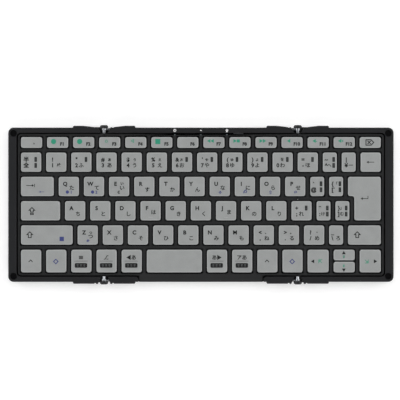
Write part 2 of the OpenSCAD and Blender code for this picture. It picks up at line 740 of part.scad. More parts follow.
module main_board() {
    top = board_z + board_thickness;
    front = board_rear - board_depth;
    connector_x = board_length/2 - connector_inset;
    color("#1f5a3c") block(-board_length/2, board_length/2, front, board_rear, board_z, top);
    color("#202020") for (c = chips)
        block(c[0], c[0] + c[2], board_rear - c[1] - c[3], board_rear - c[1], top, top + chip_h);
    color("#d8d8d0") for (x = [-connector_x, connector_x - connector_length])
        block(x, x + connector_length, front, front + connector_depth, top, top + chip_h);
}

module battery() {
    color("#a7abb0") block(-battery_length/2, battery_length/2, battery_front,
        battery_front + battery_depth, cover_top + slack, cover_top + slack + battery_thickness);
}

// The socket stands behind the board's edge and rests on it with two tabs
module charging_socket() {
    wall = 0.3;
    tab = 1.2;
    low = cover_top + slack;
    front = board_rear + slack;
    half = socket_width/2;
    on_board = board_z + board_thickness;
    color(steel) difference() {
        union() {
            block(socket_x - half, socket_x + half, front, front + socket_length,
                low, plate_z - slack);
            for (x = [socket_x - half, socket_x + half - tab])
                block(x, x + tab, front - tab, front + eps, on_board, on_board + wall);
        }
        block(socket_x - half + wall, socket_x + half - wall, front + 2*wall,
            front + socket_length + 1, low + wall, plate_z - slack - wall);
    }
    color(rubber_black) block(socket_x - half + tab, socket_x + half - tab, front + 2*wall,
        front + socket_length - 1, (low + plate_z - slack)/2 - wall, (low + plate_z - slack)/2 + wall);
}

module status_lights() {
    color("#9fb4c8") for (p = light_places) translate([p[0], p[1], plate_top])
        cylinder(d = light_d, h = deck_top - plate_top + slack/2, $fn = 24);
}

module ribbon(panel) {
    t = ribbon_thickness;
    left = -hinge_x - 22;
    right = -hinge_x + 18;
    fold_back = 8;
    rise = 0.4;
    color("#c77b2b") on_side(panel) translate([0, ribbon_y + ribbon_width/2, 0]) rotate([90, 0, 0])
        linear_extrude(ribbon_width) polygon([[left, ribbon_z], [right, ribbon_z],
            [right, ribbon_z + t], [left + t, ribbon_z + t], [left + t, ribbon_z + t + rise],
            [left + fold_back, ribbon_z + t + rise], [left + fold_back, ribbon_z + 2*t + rise],
            [left, ribbon_z + 2*t + rise]]);
}

/* Stabiliser wire of the space bar */
wire_d = 0.8;
module stabiliser_wire() {
    c = box_centre(space_box);
    half = (space_box[2] - space_box[0])/2 - cap_skirt - 1.2;
    y = c[1] - (space_box[3] - space_box[1])/2 + cap_skirt + 1;
    z = membrane_top + 1.4;
    color(steel) {
        translate([c[0] - half, y, z]) rotate([0, 90, 0]) cylinder(d = wire_d, h = 2*half, $fn = 24);
        for (s = [-1, 1]) translate([c[0] + s*half, y - wire_d/2, z]) rotate([-90, 0, 0])
            cylinder(d = wire_d, h = 6, $fn = 24);
    }
}

module left_scissors() { scissors(panel_boxes(LEFT)); }
module right_scissors() { scissors(concat(panel_boxes(RIGHT), [enter_box])); }
module centre_scissors() {
    scissors(concat(panel_boxes(CENTRE), [space_box]));
    stabiliser_wire();
}
module left_domes() { domes(panel_boxes(LEFT)); }
module centre_domes() { domes(concat(panel_boxes(CENTRE), [space_box])); }
module right_domes() { domes(concat(panel_boxes(RIGHT), [enter_box])); }

rear_rail();
front_hinge_arms();
centre_bottom_cover();
centre_deck();
support_plate(CENTRE);  // centre_support_plate
membrane(CENTRE);  // centre_membrane
centre_domes();
centre_scissors();
feet(CENTRE);  // centre_feet
screws(centre_screw_places);  // centre_screws
main_board();
battery();
charging_socket();
status_lights();
closing_magnets();
hinge_leaves();
ribbon(LEFT);  // left_ribbon_cable
ribbon(RIGHT);  // right_ribbon_cable
rim_frame(LEFT);  // left_rim_frame
side_cover(LEFT);  // left_bottom_cover
side_deck(LEFT);  // left_deck
support_plate(LEFT);  // left_support_plate
membrane(LEFT);  // left_membrane
left_domes();
left_scissors();
feet(LEFT);  // left_feet
corner_magnets(LEFT);  // left_corner_magnets
screws(both_ends(side_screws));  // left_screws
hinge_pins(LEFT);  // left_hinge_pins
rim_frame(RIGHT);  // right_rim_frame
side_cover(RIGHT);  // right_bottom_cover
side_deck(RIGHT);  // right_deck
support_plate(RIGHT);  // right_support_plate
membrane(RIGHT);  // right_membrane
right_domes();
right_scissors();
feet(RIGHT);  // right_feet
corner_magnets(RIGHT);  // right_corner_magnets
on_side(RIGHT) screws(both_ends(side_screws));  // right_screws
hinge_pins(RIGHT);  // right_hinge_pins
caps(0, LEFT);  // left_function_keys
caps(1, LEFT);  // left_number_keys
caps(2, LEFT);  // left_upper_keys
caps(3, LEFT);  // left_home_keys
caps(4, LEFT);  // left_lower_keys
caps(5, LEFT);  // left_front_keys
caps(0, CENTRE);  // centre_function_keys
caps(1, CENTRE);  // centre_number_keys
caps(2, CENTRE);  // centre_upper_keys
caps(3, CENTRE);  // centre_home_keys
caps(4, CENTRE);  // centre_lower_keys
caps(5, CENTRE);  // centre_front_keys
space_bar();
caps(0, RIGHT);  // right_function_keys
caps(1, RIGHT);  // right_number_keys
caps(2, RIGHT);  // right_upper_keys
caps(3, RIGHT);  // right_home_keys
caps(4, RIGHT);  // right_lower_keys
caps(5, RIGHT);  // right_front_keys
enter_key();
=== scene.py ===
"""The looks of a folding keyboard with three panels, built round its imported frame."""
import math

import bmesh
import bpy
from bpy.props import FloatProperty, FloatVectorProperty, PointerProperty
from bpy.types import Operator, Panel, PropertyGroup
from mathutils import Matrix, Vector


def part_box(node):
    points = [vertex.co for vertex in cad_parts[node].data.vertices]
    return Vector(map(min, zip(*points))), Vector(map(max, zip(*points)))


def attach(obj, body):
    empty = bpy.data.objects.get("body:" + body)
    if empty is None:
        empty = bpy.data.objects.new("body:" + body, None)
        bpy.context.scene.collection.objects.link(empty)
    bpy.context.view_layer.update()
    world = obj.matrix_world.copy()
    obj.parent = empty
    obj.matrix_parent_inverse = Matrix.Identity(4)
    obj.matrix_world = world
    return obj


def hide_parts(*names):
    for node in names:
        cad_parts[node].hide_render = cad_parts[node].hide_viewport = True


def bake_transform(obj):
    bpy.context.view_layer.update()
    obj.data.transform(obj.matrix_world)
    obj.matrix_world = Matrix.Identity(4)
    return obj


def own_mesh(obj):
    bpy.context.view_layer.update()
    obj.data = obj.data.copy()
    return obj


bl_info = {
    "name": "Folding Keyboard",
    "version": (1, 0, 0),
    "blender": (4, 5, 0),
    "location": "View3D > Sidebar > Keyboard",
    "description": "Models the caps, rims, hinges and finishes of a folding keyboard",
    "category": "Add Mesh",
}

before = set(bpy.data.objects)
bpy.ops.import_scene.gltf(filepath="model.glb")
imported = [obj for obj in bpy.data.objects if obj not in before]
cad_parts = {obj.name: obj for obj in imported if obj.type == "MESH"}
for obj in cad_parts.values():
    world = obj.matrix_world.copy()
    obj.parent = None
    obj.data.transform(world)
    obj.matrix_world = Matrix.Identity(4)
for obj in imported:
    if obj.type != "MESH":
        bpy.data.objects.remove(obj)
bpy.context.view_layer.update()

MM = 0.001
PANELS = ("left", "centre", "right")
BODIES = {"left": "left_panel", "centre": "centre", "right": "right_panel"}
ROWS = ("function", "number", "upper", "home", "lower", "front")
RIM_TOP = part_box("rear_rail")[1].z
DECK_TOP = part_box("left_deck")[1].z
CAP_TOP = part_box("space_bar")[1].z
MEMBRANE_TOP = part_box("centre_membrane")[1].z
PIN_LOW, PIN_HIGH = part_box("right_hinge_pins")
HINGE = Vector(((PIN_LOW.x + PIN_HIGH.x)/2, 0, (PIN_LOW.z + PIN_HIGH.z)/2))
CASE_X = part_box("right_rim_frame")[1].x
CASE_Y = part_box("centre_bottom_cover")[1].y


def linear(code):
    """An sRGB hex colour as linear light."""
    values = [int(code[i:i + 2], 16)/255 for i in (1, 3, 5)]
    return tuple(v/12.92 if v <= 0.04045 else ((v + 0.055)/1.055)**2.4 for v in values)


def length(name, default, description):
    """A length property in metres, given in millimetres."""
    return FloatProperty(name=name, description=description, default=default*MM,
                         unit="LENGTH", subtype="DISTANCE", precision=5)


def colour(name, default, description):
    """A colour property, given as an sRGB hex value."""
    return FloatVectorProperty(name=name, description=description, default=linear(default),
                               subtype="COLOR", size=3, min=0, max=1)


class KeyboardSizes(PropertyGroup):
    cap_corner: length("Cap corner", 1.7, "Corner radius of a key cap seen from above")
    cap_bevel: length("Cap bevel", 0.5, "Width of the bevel round a cap's top")
    # The painted highlight on a cap's bevel fades into the top over this width
    cap_border: length("Cap border", 0.35, "Width over which the rubbed edge fades into the top")
    cap_skirt: length("Cap skirt", 1.0, "Wall thickness of a key cap")
    rim_round: length("Rim rounding", 0.75, "Rounding along the rim's outer edge")
    edge_round: length("Edge rounding", 0.22, "Rounding of the other edges of the case")
    deck_round: length("Deck rounding", 0.16, "Rounding along the strips of the deck")
    ink_height: length("Ink height", 0.03, "Height of the printed marks above a cap")
    letter_size: length("Letter size", 4.1, "Type size of letters and digits")
    kana_size: length("Kana size", 3.9, "Type size of the second alphabet")
    symbol_size: length("Symbol size", 6.2, "Type size of the symbols on the wide keys")
    stroke: length("Stroke", 0.17, "How much heavier letters and digits are than the typeface's own")
    fine_stroke: length("Fine stroke", 0.1, "How much heavier the fine marks are than the typeface's own")
    badge_width: length("Badge width", 1.9, "Width of a small black label")
    badge_height: length("Badge height", 3.7, "Height of a small black label")


class KeyboardColours(PropertyGroup):
    rim: colour("Rim", "#0f1013", "Black of the rims")
    cover: colour("Cover", "#151618", "Black of the bottom covers")
    deck: colour("Deck", "#1d1e1f", "Charcoal of the deck between the keys")
    cap: colour("Cap", "#8f9190", "Grey of the key caps")
    # Lighter grey of the painted highlight on the caps' bevels, where they catch the light
    cap_highlight: colour("Cap edge", "#9fa1a1", "Lighter grey along the caps' rubbed edges")
    black_ink: colour("Black ink", "#0c0c0d", "Main print on the caps")
    green_ink: colour("Green ink", "#2a7f66", "Second print on the function keys")
    blue_ink: colour("Blue ink", "#363c6c", "Third print on some letter keys")
    white_ink: colour("White ink", "#d8d8d8", "Print on the rear rail")
    grey_ink: colour("Grey ink", "#5c5f5f", "Marks inside the black labels")
    rubber: colour("Rubber", "#141416", "Black of the feet")


def sizes():
    return bpy.context.scene.keyboard_sizes


def colours():
    return bpy.context.scene.keyboard_colours


# Materials

def add(tree, kind, settings=None, links=None):
    """Adds a node with its settings, and links its inputs to (node, output) pairs or values."""
    made = tree.nodes.new(kind)
    for name, value in (settings or {}).items():
        setattr(made, name, value)
    for name, source in (links or {}).items():
        if isinstance(source, tuple) and isinstance(source[0], bpy.types.Node):
            tree.links.new(source[0].outputs[source[1]], made.inputs[name])
        else:
            made.inputs[name].default_value = source
    return made


def new_material(name):
    """A material with its shader, and the coordinates of the object."""
    material = bpy.data.materials.new(name)
    material.use_nodes = True
    tree = material.node_tree
    shader = tree.nodes["Principled BSDF"]
    return material, tree, shader, add(tree, "ShaderNodeTexCoord")


def rgba(value):
    return (*value, 1)


def grain(tree, place, scale_mm, detail=2.0):
    """Noise whose grains are about scale_mm across."""
    return add(tree, "ShaderNodeTexNoise", {"noise_dimensions": "3D"},
               {"Vector": (place, "Object"), "Scale": 1/(scale_mm*MM), "Detail": detail})


def ramp(tree, source, low, high, start=0.3, end=0.7):
    """A colour ramp between two linear colours."""
    made = add(tree, "ShaderNodeValToRGB", None, {"Fac": source})
    made.color_ramp.elements[0].position = start
    made.color_ramp.elements[1].position = end
    made.color_ramp.elements[0].color = rgba(low)
    made.color_ramp.elements[1].color = rgba(high)
    return made


def level(tree, source, low, high):
    """A number between low and high as its source goes from 0 to 1."""
    return add(tree, "ShaderNodeMapRange", None,
               {"Value": source, "To Min": low, "To Max": high})


def shade(value, factor):
    return tuple(min(1, v*factor) for v in value)


def moulded_abs(name, tone, grit_mm, depth_mm, roughness):
    """ABS from a spark-eroded mould: an even, slightly pebbled skin that spreads each reflection."""
    material, tree, shader, place = new_material(name)
    cloud = grain(tree, place, 14, 3)
    grit = grain(tree, place, grit_mm, 3)
    blend = ramp(tree, (cloud, "Fac"), shade(tone, 0.88), shade(tone, 1.14))
    tree.links.new(blend.outputs["Color"], shader.inputs["Base Color"])
    gloss = level(tree, (grit, "Fac"), roughness - 0.07, roughness + 0.09)
    tree.links.new(gloss.outputs["Result"], shader.inputs["Roughness"])
    bump = add(tree, "ShaderNodeBump", None,
               {"Height": (grit, "Fac"), "Distance": depth_mm*MM, "Strength": 0.5})
    tree.links.new(bump.outputs["Normal"], shader.inputs["Normal"])
    shader.inputs["IOR"].default_value = 1.5
    shader.inputs["Specular IOR Level"].default_value = 0.38
    return material


def painted_cap():
    """ABS with metallic grey paint: fine sparkle on top, and the bevels painted lighter as a painted highlight
    where they catch the light.
    """
    tones = colours()
    material, tree, shader, place = new_material("grey_painted_abs")
    rubbed = add(tree, "ShaderNodeAttribute", {"attribute_name": "rubbed"})
    cloud = grain(tree, place, 9, 2)
    flake = grain(tree, place, 0.35, 4)
    body = ramp(tree, (cloud, "Fac"), shade(tones.cap, 0.95), shade(tones.cap, 1.05))
    speck = ramp(tree, (flake, "Fac"), (0.93, 0.93, 0.93), (1.06, 1.06, 1.07))
    sparkle = add(tree, "ShaderNodeMix", {"data_type": "RGBA", "blend_type": "MULTIPLY"})
    sparkle.inputs["Factor"].default_value = 1
    tree.links.new(body.outputs["Color"], sparkle.inputs["A"])
    tree.links.new(speck.outputs["Color"], sparkle.inputs["B"])
    # Mixes the painted highlight into the bevels
    edge = add(tree, "ShaderNodeMix", {"data_type": "RGBA"})
    edge.inputs["B"].default_value = rgba(tones.cap_highlight)
    tree.links.new(rubbed.outputs["Fac"], edge.inputs["Factor"])
    tree.links.new(sparkle.outputs["Result"], edge.inputs["A"])
    tree.links.new(edge.outputs["Result"], shader.inputs["Base Color"])
    gloss = level(tree, (flake, "Fac"), 0.42, 0.58)
    tree.links.new(gloss.outputs["Result"], shader.inputs["Roughness"])
    bump = add(tree, "ShaderNodeBump", None,
               {"Height": (flake, "Fac"), "Distance": 0.012*MM, "Strength": 0.4})
    tree.links.new(bump.outputs["Normal"], shader.inputs["Normal"])
    shader.inputs["IOR"].default_value = 1.5
    shader.inputs["Specular IOR Level"].default_value = 0.4
    return material


def printed_ink(name, tone):
    """Pad-printed ink: dull, and a little thin in places."""
    material, tree, shader, place = new_material(name)
    thin = grain(tree, place, 0.5, 2)
    blend = ramp(tree, (thin, "Fac"), tone, shade(tone, 1.25))
    tree.links.new(blend.outputs["Color"], shader.inputs["Base Color"])
    shader.inputs["Roughness"].default_value = 0.62
    shader.inputs["Specular IOR Level"].default_value = 0.25
    return material


def rubber(name, tone):
    """Silicone rubber: soft sheen that dust makes uneven."""
    material, tree, shader, place = new_material(name)
    dust = grain(tree, place, 2.5, 4)
    fine = grain(tree, place, 0.3, 2)
    blend = ramp(tree, (dust, "Fac"), shade(tone, 0.85), shade(tone, 1.35))
    tree.links.new(blend.outputs["Color"], shader.inputs["Base Color"])
    gloss = level(tree, (dust, "Fac"), 0.66, 0.85)
    tree.links.new(gloss.outputs["Result"], shader.inputs["Roughness"])
    bump = add(tree, "ShaderNodeBump", None,
               {"Height": (fine, "Fac"), "Distance": 0.02*MM, "Strength": 0.4})
    tree.links.new(bump.outputs["Normal"], shader.inputs["Normal"])
    return material


def turned_steel(name, tone, roughness, line_mm):
    """Stainless steel off a lathe: fine rings round the part's own axis, bright and a little blurred."""
    material, tree, shader, place = new_material(name)
    stretch = add(tree, "ShaderNodeMapping", None,
                  {"Vector": (place, "Object"), "Scale": (0.08, 1, 0.08)})
    lines = add(tree, "ShaderNodeTexNoise", None,
                {"Vector": (stretch, "Vector"), "Scale": 1/(line_mm*MM), "Detail": 3})
    blend = ramp(tree, (lines, "Fac"), shade(tone, 0.82), shade(tone, 1.12))
    tree.links.new(blend.outputs["Color"], shader.inputs["Base Color"])
    gloss = level(tree, (lines, "Fac"), roughness - 0.08, roughness + 0.1)
    tree.links.new(gloss.outputs["Result"], shader.inputs["Roughness"])
    bump = add(tree, "ShaderNodeBump", None,
               {"Height": (lines, "Fac"), "Distance": 0.01*MM, "Strength": 0.35})
    tree.links.new(bump.outputs["Normal"], shader.inputs["Normal"])
    shader.inputs["Metallic"].default_value = 1
    return material


def sheet_with_painted_shade():
    """Stamped steel sheet, coloured nearly black as painted shade where it shows between the keys, with the
    rollers' fine lines along X.
    """
    material, tree, shader, place = new_material("blackened_steel_sheet")
    stretch = add(tree, "ShaderNodeMapping", None,
                  {"Vector": (place, "Object"), "Scale": (0.03, 1, 1)})
    lines = add(tree, "ShaderNodeTexNoise", None,
                {"Vector": (stretch, "Vector"), "Scale": 1/(0.4*MM), "Detail": 3})
    blend = ramp(tree, (lines, "Fac"), linear("#1d1e20"), linear("#2b2c2e"))
    tree.links.new(blend.outputs["Color"], shader.inputs["Base Color"])
    gloss = level(tree, (lines, "Fac"), 0.3, 0.5)
    tree.links.new(gloss.outputs["Result"], shader.inputs["Roughness"])
    shader.inputs["Metallic"].default_value = 1
    return material


def magnet_coat(name, tone, metallic, roughness, specular=0.5):
    """Plated or lacquered magnet: smooth, with faint orange peel."""
    material, tree, shader, place = new_material(name)
    peel = grain(tree, place, 0.6, 2)
    blend = ramp(tree, (peel, "Fac"), shade(tone, 0.9), shade(tone, 1.15))
    tree.links.new(blend.outputs["Color"], shader.inputs["Base Color"])
    gloss = level(tree, (peel, "Fac"), roughness, roughness + 0.15)
    tree.links.new(gloss.outputs["Result"], shader.inputs["Roughness"])
    bump = add(tree, "ShaderNodeBump", None,
               {"Height": (peel, "Fac"), "Distance": 0.01*MM, "Strength": 0.3})
    tree.links.new(bump.outputs["Normal"], shader.inputs["Normal"])
    shader.inputs["Metallic"].default_value = metallic
    shader.inputs["Specular IOR Level"].default_value = specular
    return material


def film_with_painted_shade():
    """Switch membrane: black polyester with dull silver tracks printed on it, 1.2 mm apart; film and tracks are
    kept near black, darkened further as painted shade in the wells round the keys.
    """
    material, tree, shader, place = new_material("printed_polyester_film")
    tracks = add(tree, "ShaderNodeTexBrick", {"offset": 0.5},
                 {"Vector": (place, "Object"), "Scale": 1/(4.75*MM), "Mortar Size": 0.06,
                  "Brick Width": 1.0, "Row Height": 0.5, "Color1": rgba(linear("#060607")),
                  "Color2": rgba(linear("#08090a")), "Mortar": rgba(linear("#101213"))})
    tree.links.new(tracks.outputs["Color"], shader.inputs["Base Color"])
    gloss = level(tree, (tracks, "Fac"), 0.5, 0.35)
    tree.links.new(gloss.outputs["Result"], shader.inputs["Roughness"])
    return material


def circuit_board():
    """Glass-fibre board under green solder mask: copper tracks show as a lighter, raised grid."""
    material, tree, shader, place = new_material("green_circuit_board")
    tracks = add(tree, "ShaderNodeTexBrick", {"offset": 0.35},
                 {"Vector": (place, "Object"), "Scale": 1/(3*MM), "Mortar Size": 0.05,
                  "Brick Width": 0.9, "Row Height": 0.3, "Color1": rgba(linear("#134a30")),
                  "Color2": rgba(linear("#175438")), "Mortar": rgba(linear("#2c7a52"))})
    tree.links.new(tracks.outputs["Color"], shader.inputs["Base Color"])
    bump = add(tree, "ShaderNodeBump", None,
               {"Height": (tracks, "Fac"), "Distance": 0.03*MM, "Strength": 0.4})
    tree.links.new(bump.outputs["Normal"], shader.inputs["Normal"])
    shader.inputs["Roughness"].default_value = 0.32
    return material


def pouch_foil():
    """Laminated aluminium pouch: bright, with soft creases about 6 mm apart."""
    material, tree, shader, place = new_material("laminated_pouch_foil")
    crease = grain(tree, place, 6, 3)
    bump = add(tree, "ShaderNodeBump", None,
               {"Height": (crease, "Fac"), "Distance": 0.25*MM, "Strength": 0.6})
    tree.links.new(bump.outputs["Normal"], shader.inputs["Normal"])
    shader.inputs["Base Color"].default_value = rgba(linear("#a9acb0"))
    shader.inputs["Metallic"].default_value = 1
    shader.inputs["Roughness"].default_value = 0.36
    return material


def frosted_pipe():
    """Frosted polycarbonate that carries a lamp's light: milky, and a little clear."""
    material, tree, shader, place = new_material("frosted_polycarbonate")
    milk = grain(tree, place, 0.3, 2)
    blend = ramp(tree, (milk, "Fac"), linear("#8e9aa2"), linear("#aeb8be"))
    tree.links.new(blend.outputs["Color"], shader.inputs["Base Color"])
    shader.inputs["Roughness"].default_value = 0.3
    shader.inputs["IOR"].default_value = 1.585
    shader.inputs["Transmission Weight"].default_value = 0.25
    return material


def ribbon_film():
    """Polyimide ribbon: amber film over copper tracks 0.5 mm apart that run along it."""
    material, tree, shader, place = new_material("amber_polyimide_film")
    tracks = add(tree, "ShaderNodeTexWave", {"bands_direction": "Y"},
                 {"Vector": (place, "Object"), "Scale": 0.314/(1.0*MM), "Distortion": 0.0})
    blend = ramp(tree, (tracks, "Fac"), linear("#6d3c14"), linear("#b9702c"), 0.4, 0.6)
    tree.links.new(blend.outputs["Color"], shader.inputs["Base Color"])
    shader.inputs["Roughness"].default_value = 0.28
    return material


def acetal():
    """Acetal: waxy white, with the light going a little way in."""
    material, tree, shader, place = new_material("white_acetal")
    wax = grain(tree, place, 4, 2)
    blend = ramp(tree, (wax, "Fac"), linear("#d4d4cf"), linear("#e4e4df"))
    tree.links.new(blend.outputs["Color"], shader.inputs["Base Color"])
    shader.inputs["Roughness"].default_value = 0.42
    shader.inputs["IOR"].default_value = 1.48
    return material


# Modelling helpers

def activate(piece):
    """Selects one object alone and makes it the active one."""
    bpy.ops.object.select_all(action="DESELECT")
    piece.select_set(True)
    bpy.context.view_layer.objects.active = piece
    return piece


def edit(piece):
    """Opens an object in edit mode with nothing selected."""
    activate(piece)
    bpy.ops.object.mode_set(mode="EDIT")
    bpy.ops.mesh.select_all(action="DESELECT")


def leave_edit():
    bpy.ops.object.mode_set(mode="OBJECT")


def choose(piece, kind, test):
    """In edit mode, selects the verts, edges or faces that pass a test."""
    modes = {"verts": (True, False, False), "edges": (False, True, False), "faces": (False, False, True)}
    bpy.context.tool_settings.mesh_select_mode = modes[kind]
    bpy.ops.mesh.select_all(action="DESELECT")
    mesh = bmesh.from_edit_mesh(piece.data)
    found = 0
    for part in getattr(mesh, kind):
        if test(part):
            part.select_set(True)
            found += 1
    bmesh.update_edit_mesh(piece.data)
    if not found:
        raise RuntimeError(f"{piece.name} has no {kind} where they are expected")


def new_block(name, low, high):
    """A block between two corners, with its place in its mesh."""
    bpy.ops.object.select_all(action="DESELECT")
    bpy.ops.mesh.primitive_cube_add(size=1, location=(low + high)/2)
    piece = bpy.context.object
    piece.name = name
    piece.scale = high - low
    bpy.ops.object.transform_apply(location=True, rotation=False, scale=True)
    return piece


def is_upright(edge):
    a, b = (v.co for v in edge.verts)
    return abs(a.x - b.x) + abs(a.y - b.y) < 1e-6


def middle(edge):
    return (edge.verts[0].co + edge.verts[1].co)/2


def smooth(piece, angle=35):
    activate(piece)
    bpy.ops.object.shade_smooth_by_angle(angle=math.radians(angle))


def joined(pieces, name):
    """Several objects as one, with its place in its mesh."""
    bpy.ops.object.select_all(action="DESELECT")
    for piece in pieces:
        piece.select_set(True)
    bpy.context.view_layer.objects.active = pieces[0]
    if len(pieces) > 1:
        bpy.ops.object.join()
    bpy.ops.object.transform_apply(location=True, rotation=True, scale=True)
    whole = bpy.context.object
    whole.name = name
    whole.data.name = name
    return whole


def copied(piece, shift):
    """A copy with its own mesh, moved from where its model stands."""
    twin = piece.copy()
    twin.data = piece.data.copy()
    twin.location = shift
    bpy.context.scene.collection.objects.link(twin)
    return twin


def discard(pieces):
    for piece in pieces:
        bpy.data.objects.remove(piece)


def merged_copy(node, name):
    """A node's shape as an object of its own, with whole faces in place of triangles."""
    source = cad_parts[node]
    piece = source.copy()
    piece.data = source.data.copy()
    piece.parent = None
    piece.name = name
    piece.data.name = name
    for key in list(piece.keys()):
        del piece[key]
    piece.data.materials.clear()
    bpy.context.scene.collection.objects.link(piece)
    piece.hide_render = False
    piece.hide_viewport = False
    activate(piece)
    if piece.data.has_custom_normals:
        bpy.ops.mesh.customdata_custom_splitnormals_clear()
    edit(piece)
    bpy.ops.mesh.select_all(action="SELECT")
    bpy.ops.mesh.remove_doubles(threshold=0.002*MM)
    bpy.ops.mesh.dissolve_limited(angle_limit=math.radians(1))
    leave_edit()
    return piece


def softened(piece, width, share, segments=2):
    """Rounds the edges of a piece; share says how much of the width an edge gets."""
    mesh = bmesh.new()
    mesh.from_mesh(piece.data)
    weights = mesh.edges.layers.float.new("bevel_weight_edge")
    for edge in mesh.edges:
        if len(edge.link_faces) == 2 and edge.calc_face_angle() > math.radians(30):
            edge[weights] = share(edge)
    mesh.to_mesh(piece.data)
    mesh.free()
    activate(piece)
    bevel = piece.modifiers.new("Rounding", "BEVEL")
    bevel.limit_method = "WEIGHT"
    bevel.width = width
    bevel.segments = segments
    bevel.use_clamp_overlap = False
    bpy.ops.object.modifier_apply(modifier=bevel.name)
    smooth(piece)
    return piece


def even_shading(piece):
    """Keeps the large faces flat to the eye where a rounding meets them."""
    activate(piece)
    weighted = piece.modifiers.new("Even shading", "WEIGHTED_NORMAL")
    weighted.keep_sharp = True
    bpy.ops.object.modifier_apply(modifier=weighted.name)


def solid_boxes(node):
    """The lowest and highest corner of each separate solid of a node, from left to right."""
    mesh = bmesh.new()
    mesh.from_mesh(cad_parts[node].data)
    bmesh.ops.remove_doubles(mesh, verts=mesh.verts, dist=0.002*MM)
    waiting = set(mesh.verts)
    boxes = []
    while waiting:
        island, edge_of_it = set(), [waiting.pop()]
        while edge_of_it:
            vert = edge_of_it.pop()
            island.add(vert)
            near = {e.other_vert(vert) for e in vert.link_edges} & waiting
            waiting -= near
            edge_of_it.extend(near)
        corners = [[v.co[i] for v in island] for i in range(3)]
        boxes.append((Vector(map(min, corners)), Vector(map(max, corners))))
    mesh.free()
    return sorted(boxes, key=lambda box: (round(box[0].x, 4), -box[0].y))


def settle(piece, body, materials, *nodes):
    """Gives a finished piece its materials and body, and lets it stand for its nodes."""
    if materials:
        piece.data.materials.clear()
        for material in materials:
            piece.data.materials.append(material)
    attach(piece, body)
    if nodes:
        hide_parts(*nodes)
    return piece


def dress(node, material):
    """Gives a node that stays its material."""
    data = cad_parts[node].data
    data.materials.clear()
    data.materials.append(material)


def hinge_distance(point):
    return abs(abs(point.x) - HINGE.x)


# Key caps

def paint_highlight(piece, top):
    """Marks where a cap gets the painted highlight: fully on the bevel, not at all on top."""
    crown = max(piece.data.polygons, key=lambda f: f.area if f.normal.z > 0.99 else 0)
    flat = set(crown.vertices)
    rubbed = piece.data.attributes.new("rubbed", "FLOAT", "POINT")
    bevel = sizes().cap_bevel
    for vert in piece.data.vertices:
        on_bevel = vert.co.z > top - bevel - 0.01*MM and vert.index not in flat
        rubbed.data[vert.index].value = 1.0 if on_bevel else 0.0


def shape_cap(piece, top, low):
    """Rounds an upright block's corners and top edge, and hollows it from below."""
    size = sizes()
    edit(piece)
    choose(piece, "edges", is_upright)
    bpy.ops.mesh.bevel(offset=size.cap_corner, segments=6, affect="EDGES")
    choose(piece, "edges", lambda e: abs(middle(e).z - top) < 1e-6 and len({round(v.co.z, 6) for v in e.verts}) == 1
           and any(abs(f.normal.z) < 0.5 for f in e.link_faces))
    bpy.ops.mesh.bevel(offset=size.cap_bevel, segments=3, profile=0.5, affect="EDGES")
    choose(piece, "faces", lambda f: f.normal.z > 0.99)
    bpy.ops.mesh.inset(thickness=size.cap_border)
    choose(piece, "faces", lambda f: f.normal.z < -0.99)
    bpy.ops.mesh.inset(thickness=size.cap_skirt)
    ceiling = top - low - size.cap_skirt
    bpy.ops.mesh.extrude_region_move(TRANSFORM_OT_translate={"value": (0, 0, ceiling)})
    leave_edit()
    paint_highlight(piece, top)
    smooth(piece, 40)


def model_cap(low, high):
    piece = new_block("cap_model", low, high)
    shape_cap(piece, high.z, low.z)
    return piece


def home_bar(low, high):
    """The small ridge that the forefingers feel."""
    centre = Vector(((low.x + high.x)/2, low.y + 2.4*MM, high.z))
    half = Vector((1.6, 0.28, 0.16))*MM
    piece = new_block("home_bar_model", centre - half, centre + half)
    edit(piece)
    choose(piece, "edges", is_upright)
    bpy.ops.mesh.bevel(offset=0.25*MM, segments=4, affect="EDGES")
    choose(piece, "edges", lambda e: all(v.co.z > centre.z for v in e.verts))
    bpy.ops.mesh.bevel(offset=0.1*MM, segments=2, affect="EDGES")
    leave_edit()
    # The ridge gets most of the painted highlight, as it catches the light
    rubbed = piece.data.attributes.new("rubbed", "FLOAT", "POINT")
    for vert in piece.data.vertices:
        rubbed.data[vert.index].value = 0.7
    smooth(piece)
    return piece


# Which keys of the middle home row, counted from the left, carry the small ridge
HOME_BARS = (1, 4)


class KEYBOARD_OT_key_caps(Operator):
    """Models one cap of each size and sets copies of it in every row"""
    bl_idname = "keyboard.key_caps"
    bl_label = "Key caps"

    def execute(self, context):
        paint = painted_cap()
        models = {}
        for panel in PANELS:
            for row in ROWS:
                node = f"{panel}_{row}_keys"
                self.make_row(node, models, paint)
        self.make_row("space_bar", models, paint)
        discard([model for model, low in models.values()])
        return {"FINISHED"}

    def make_row(self, node, models, paint):
        caps = []
        boxes = solid_boxes(node)
        for low, high in boxes:
            kind = tuple(round(v, 5) for v in high - low)
            if kind not in models:
                models[kind] = (model_cap(low, high), low)
            model, place = models[kind]
            caps.append(copied(model, low - place))
        if node == "centre_home_keys":
            caps.extend(home_bar(*boxes[i]) for i in HOME_BARS)
        settle(joined(caps, node.replace("keys", "caps") if "keys" in node else "space_bar_cap"),
               node, [paint], node)


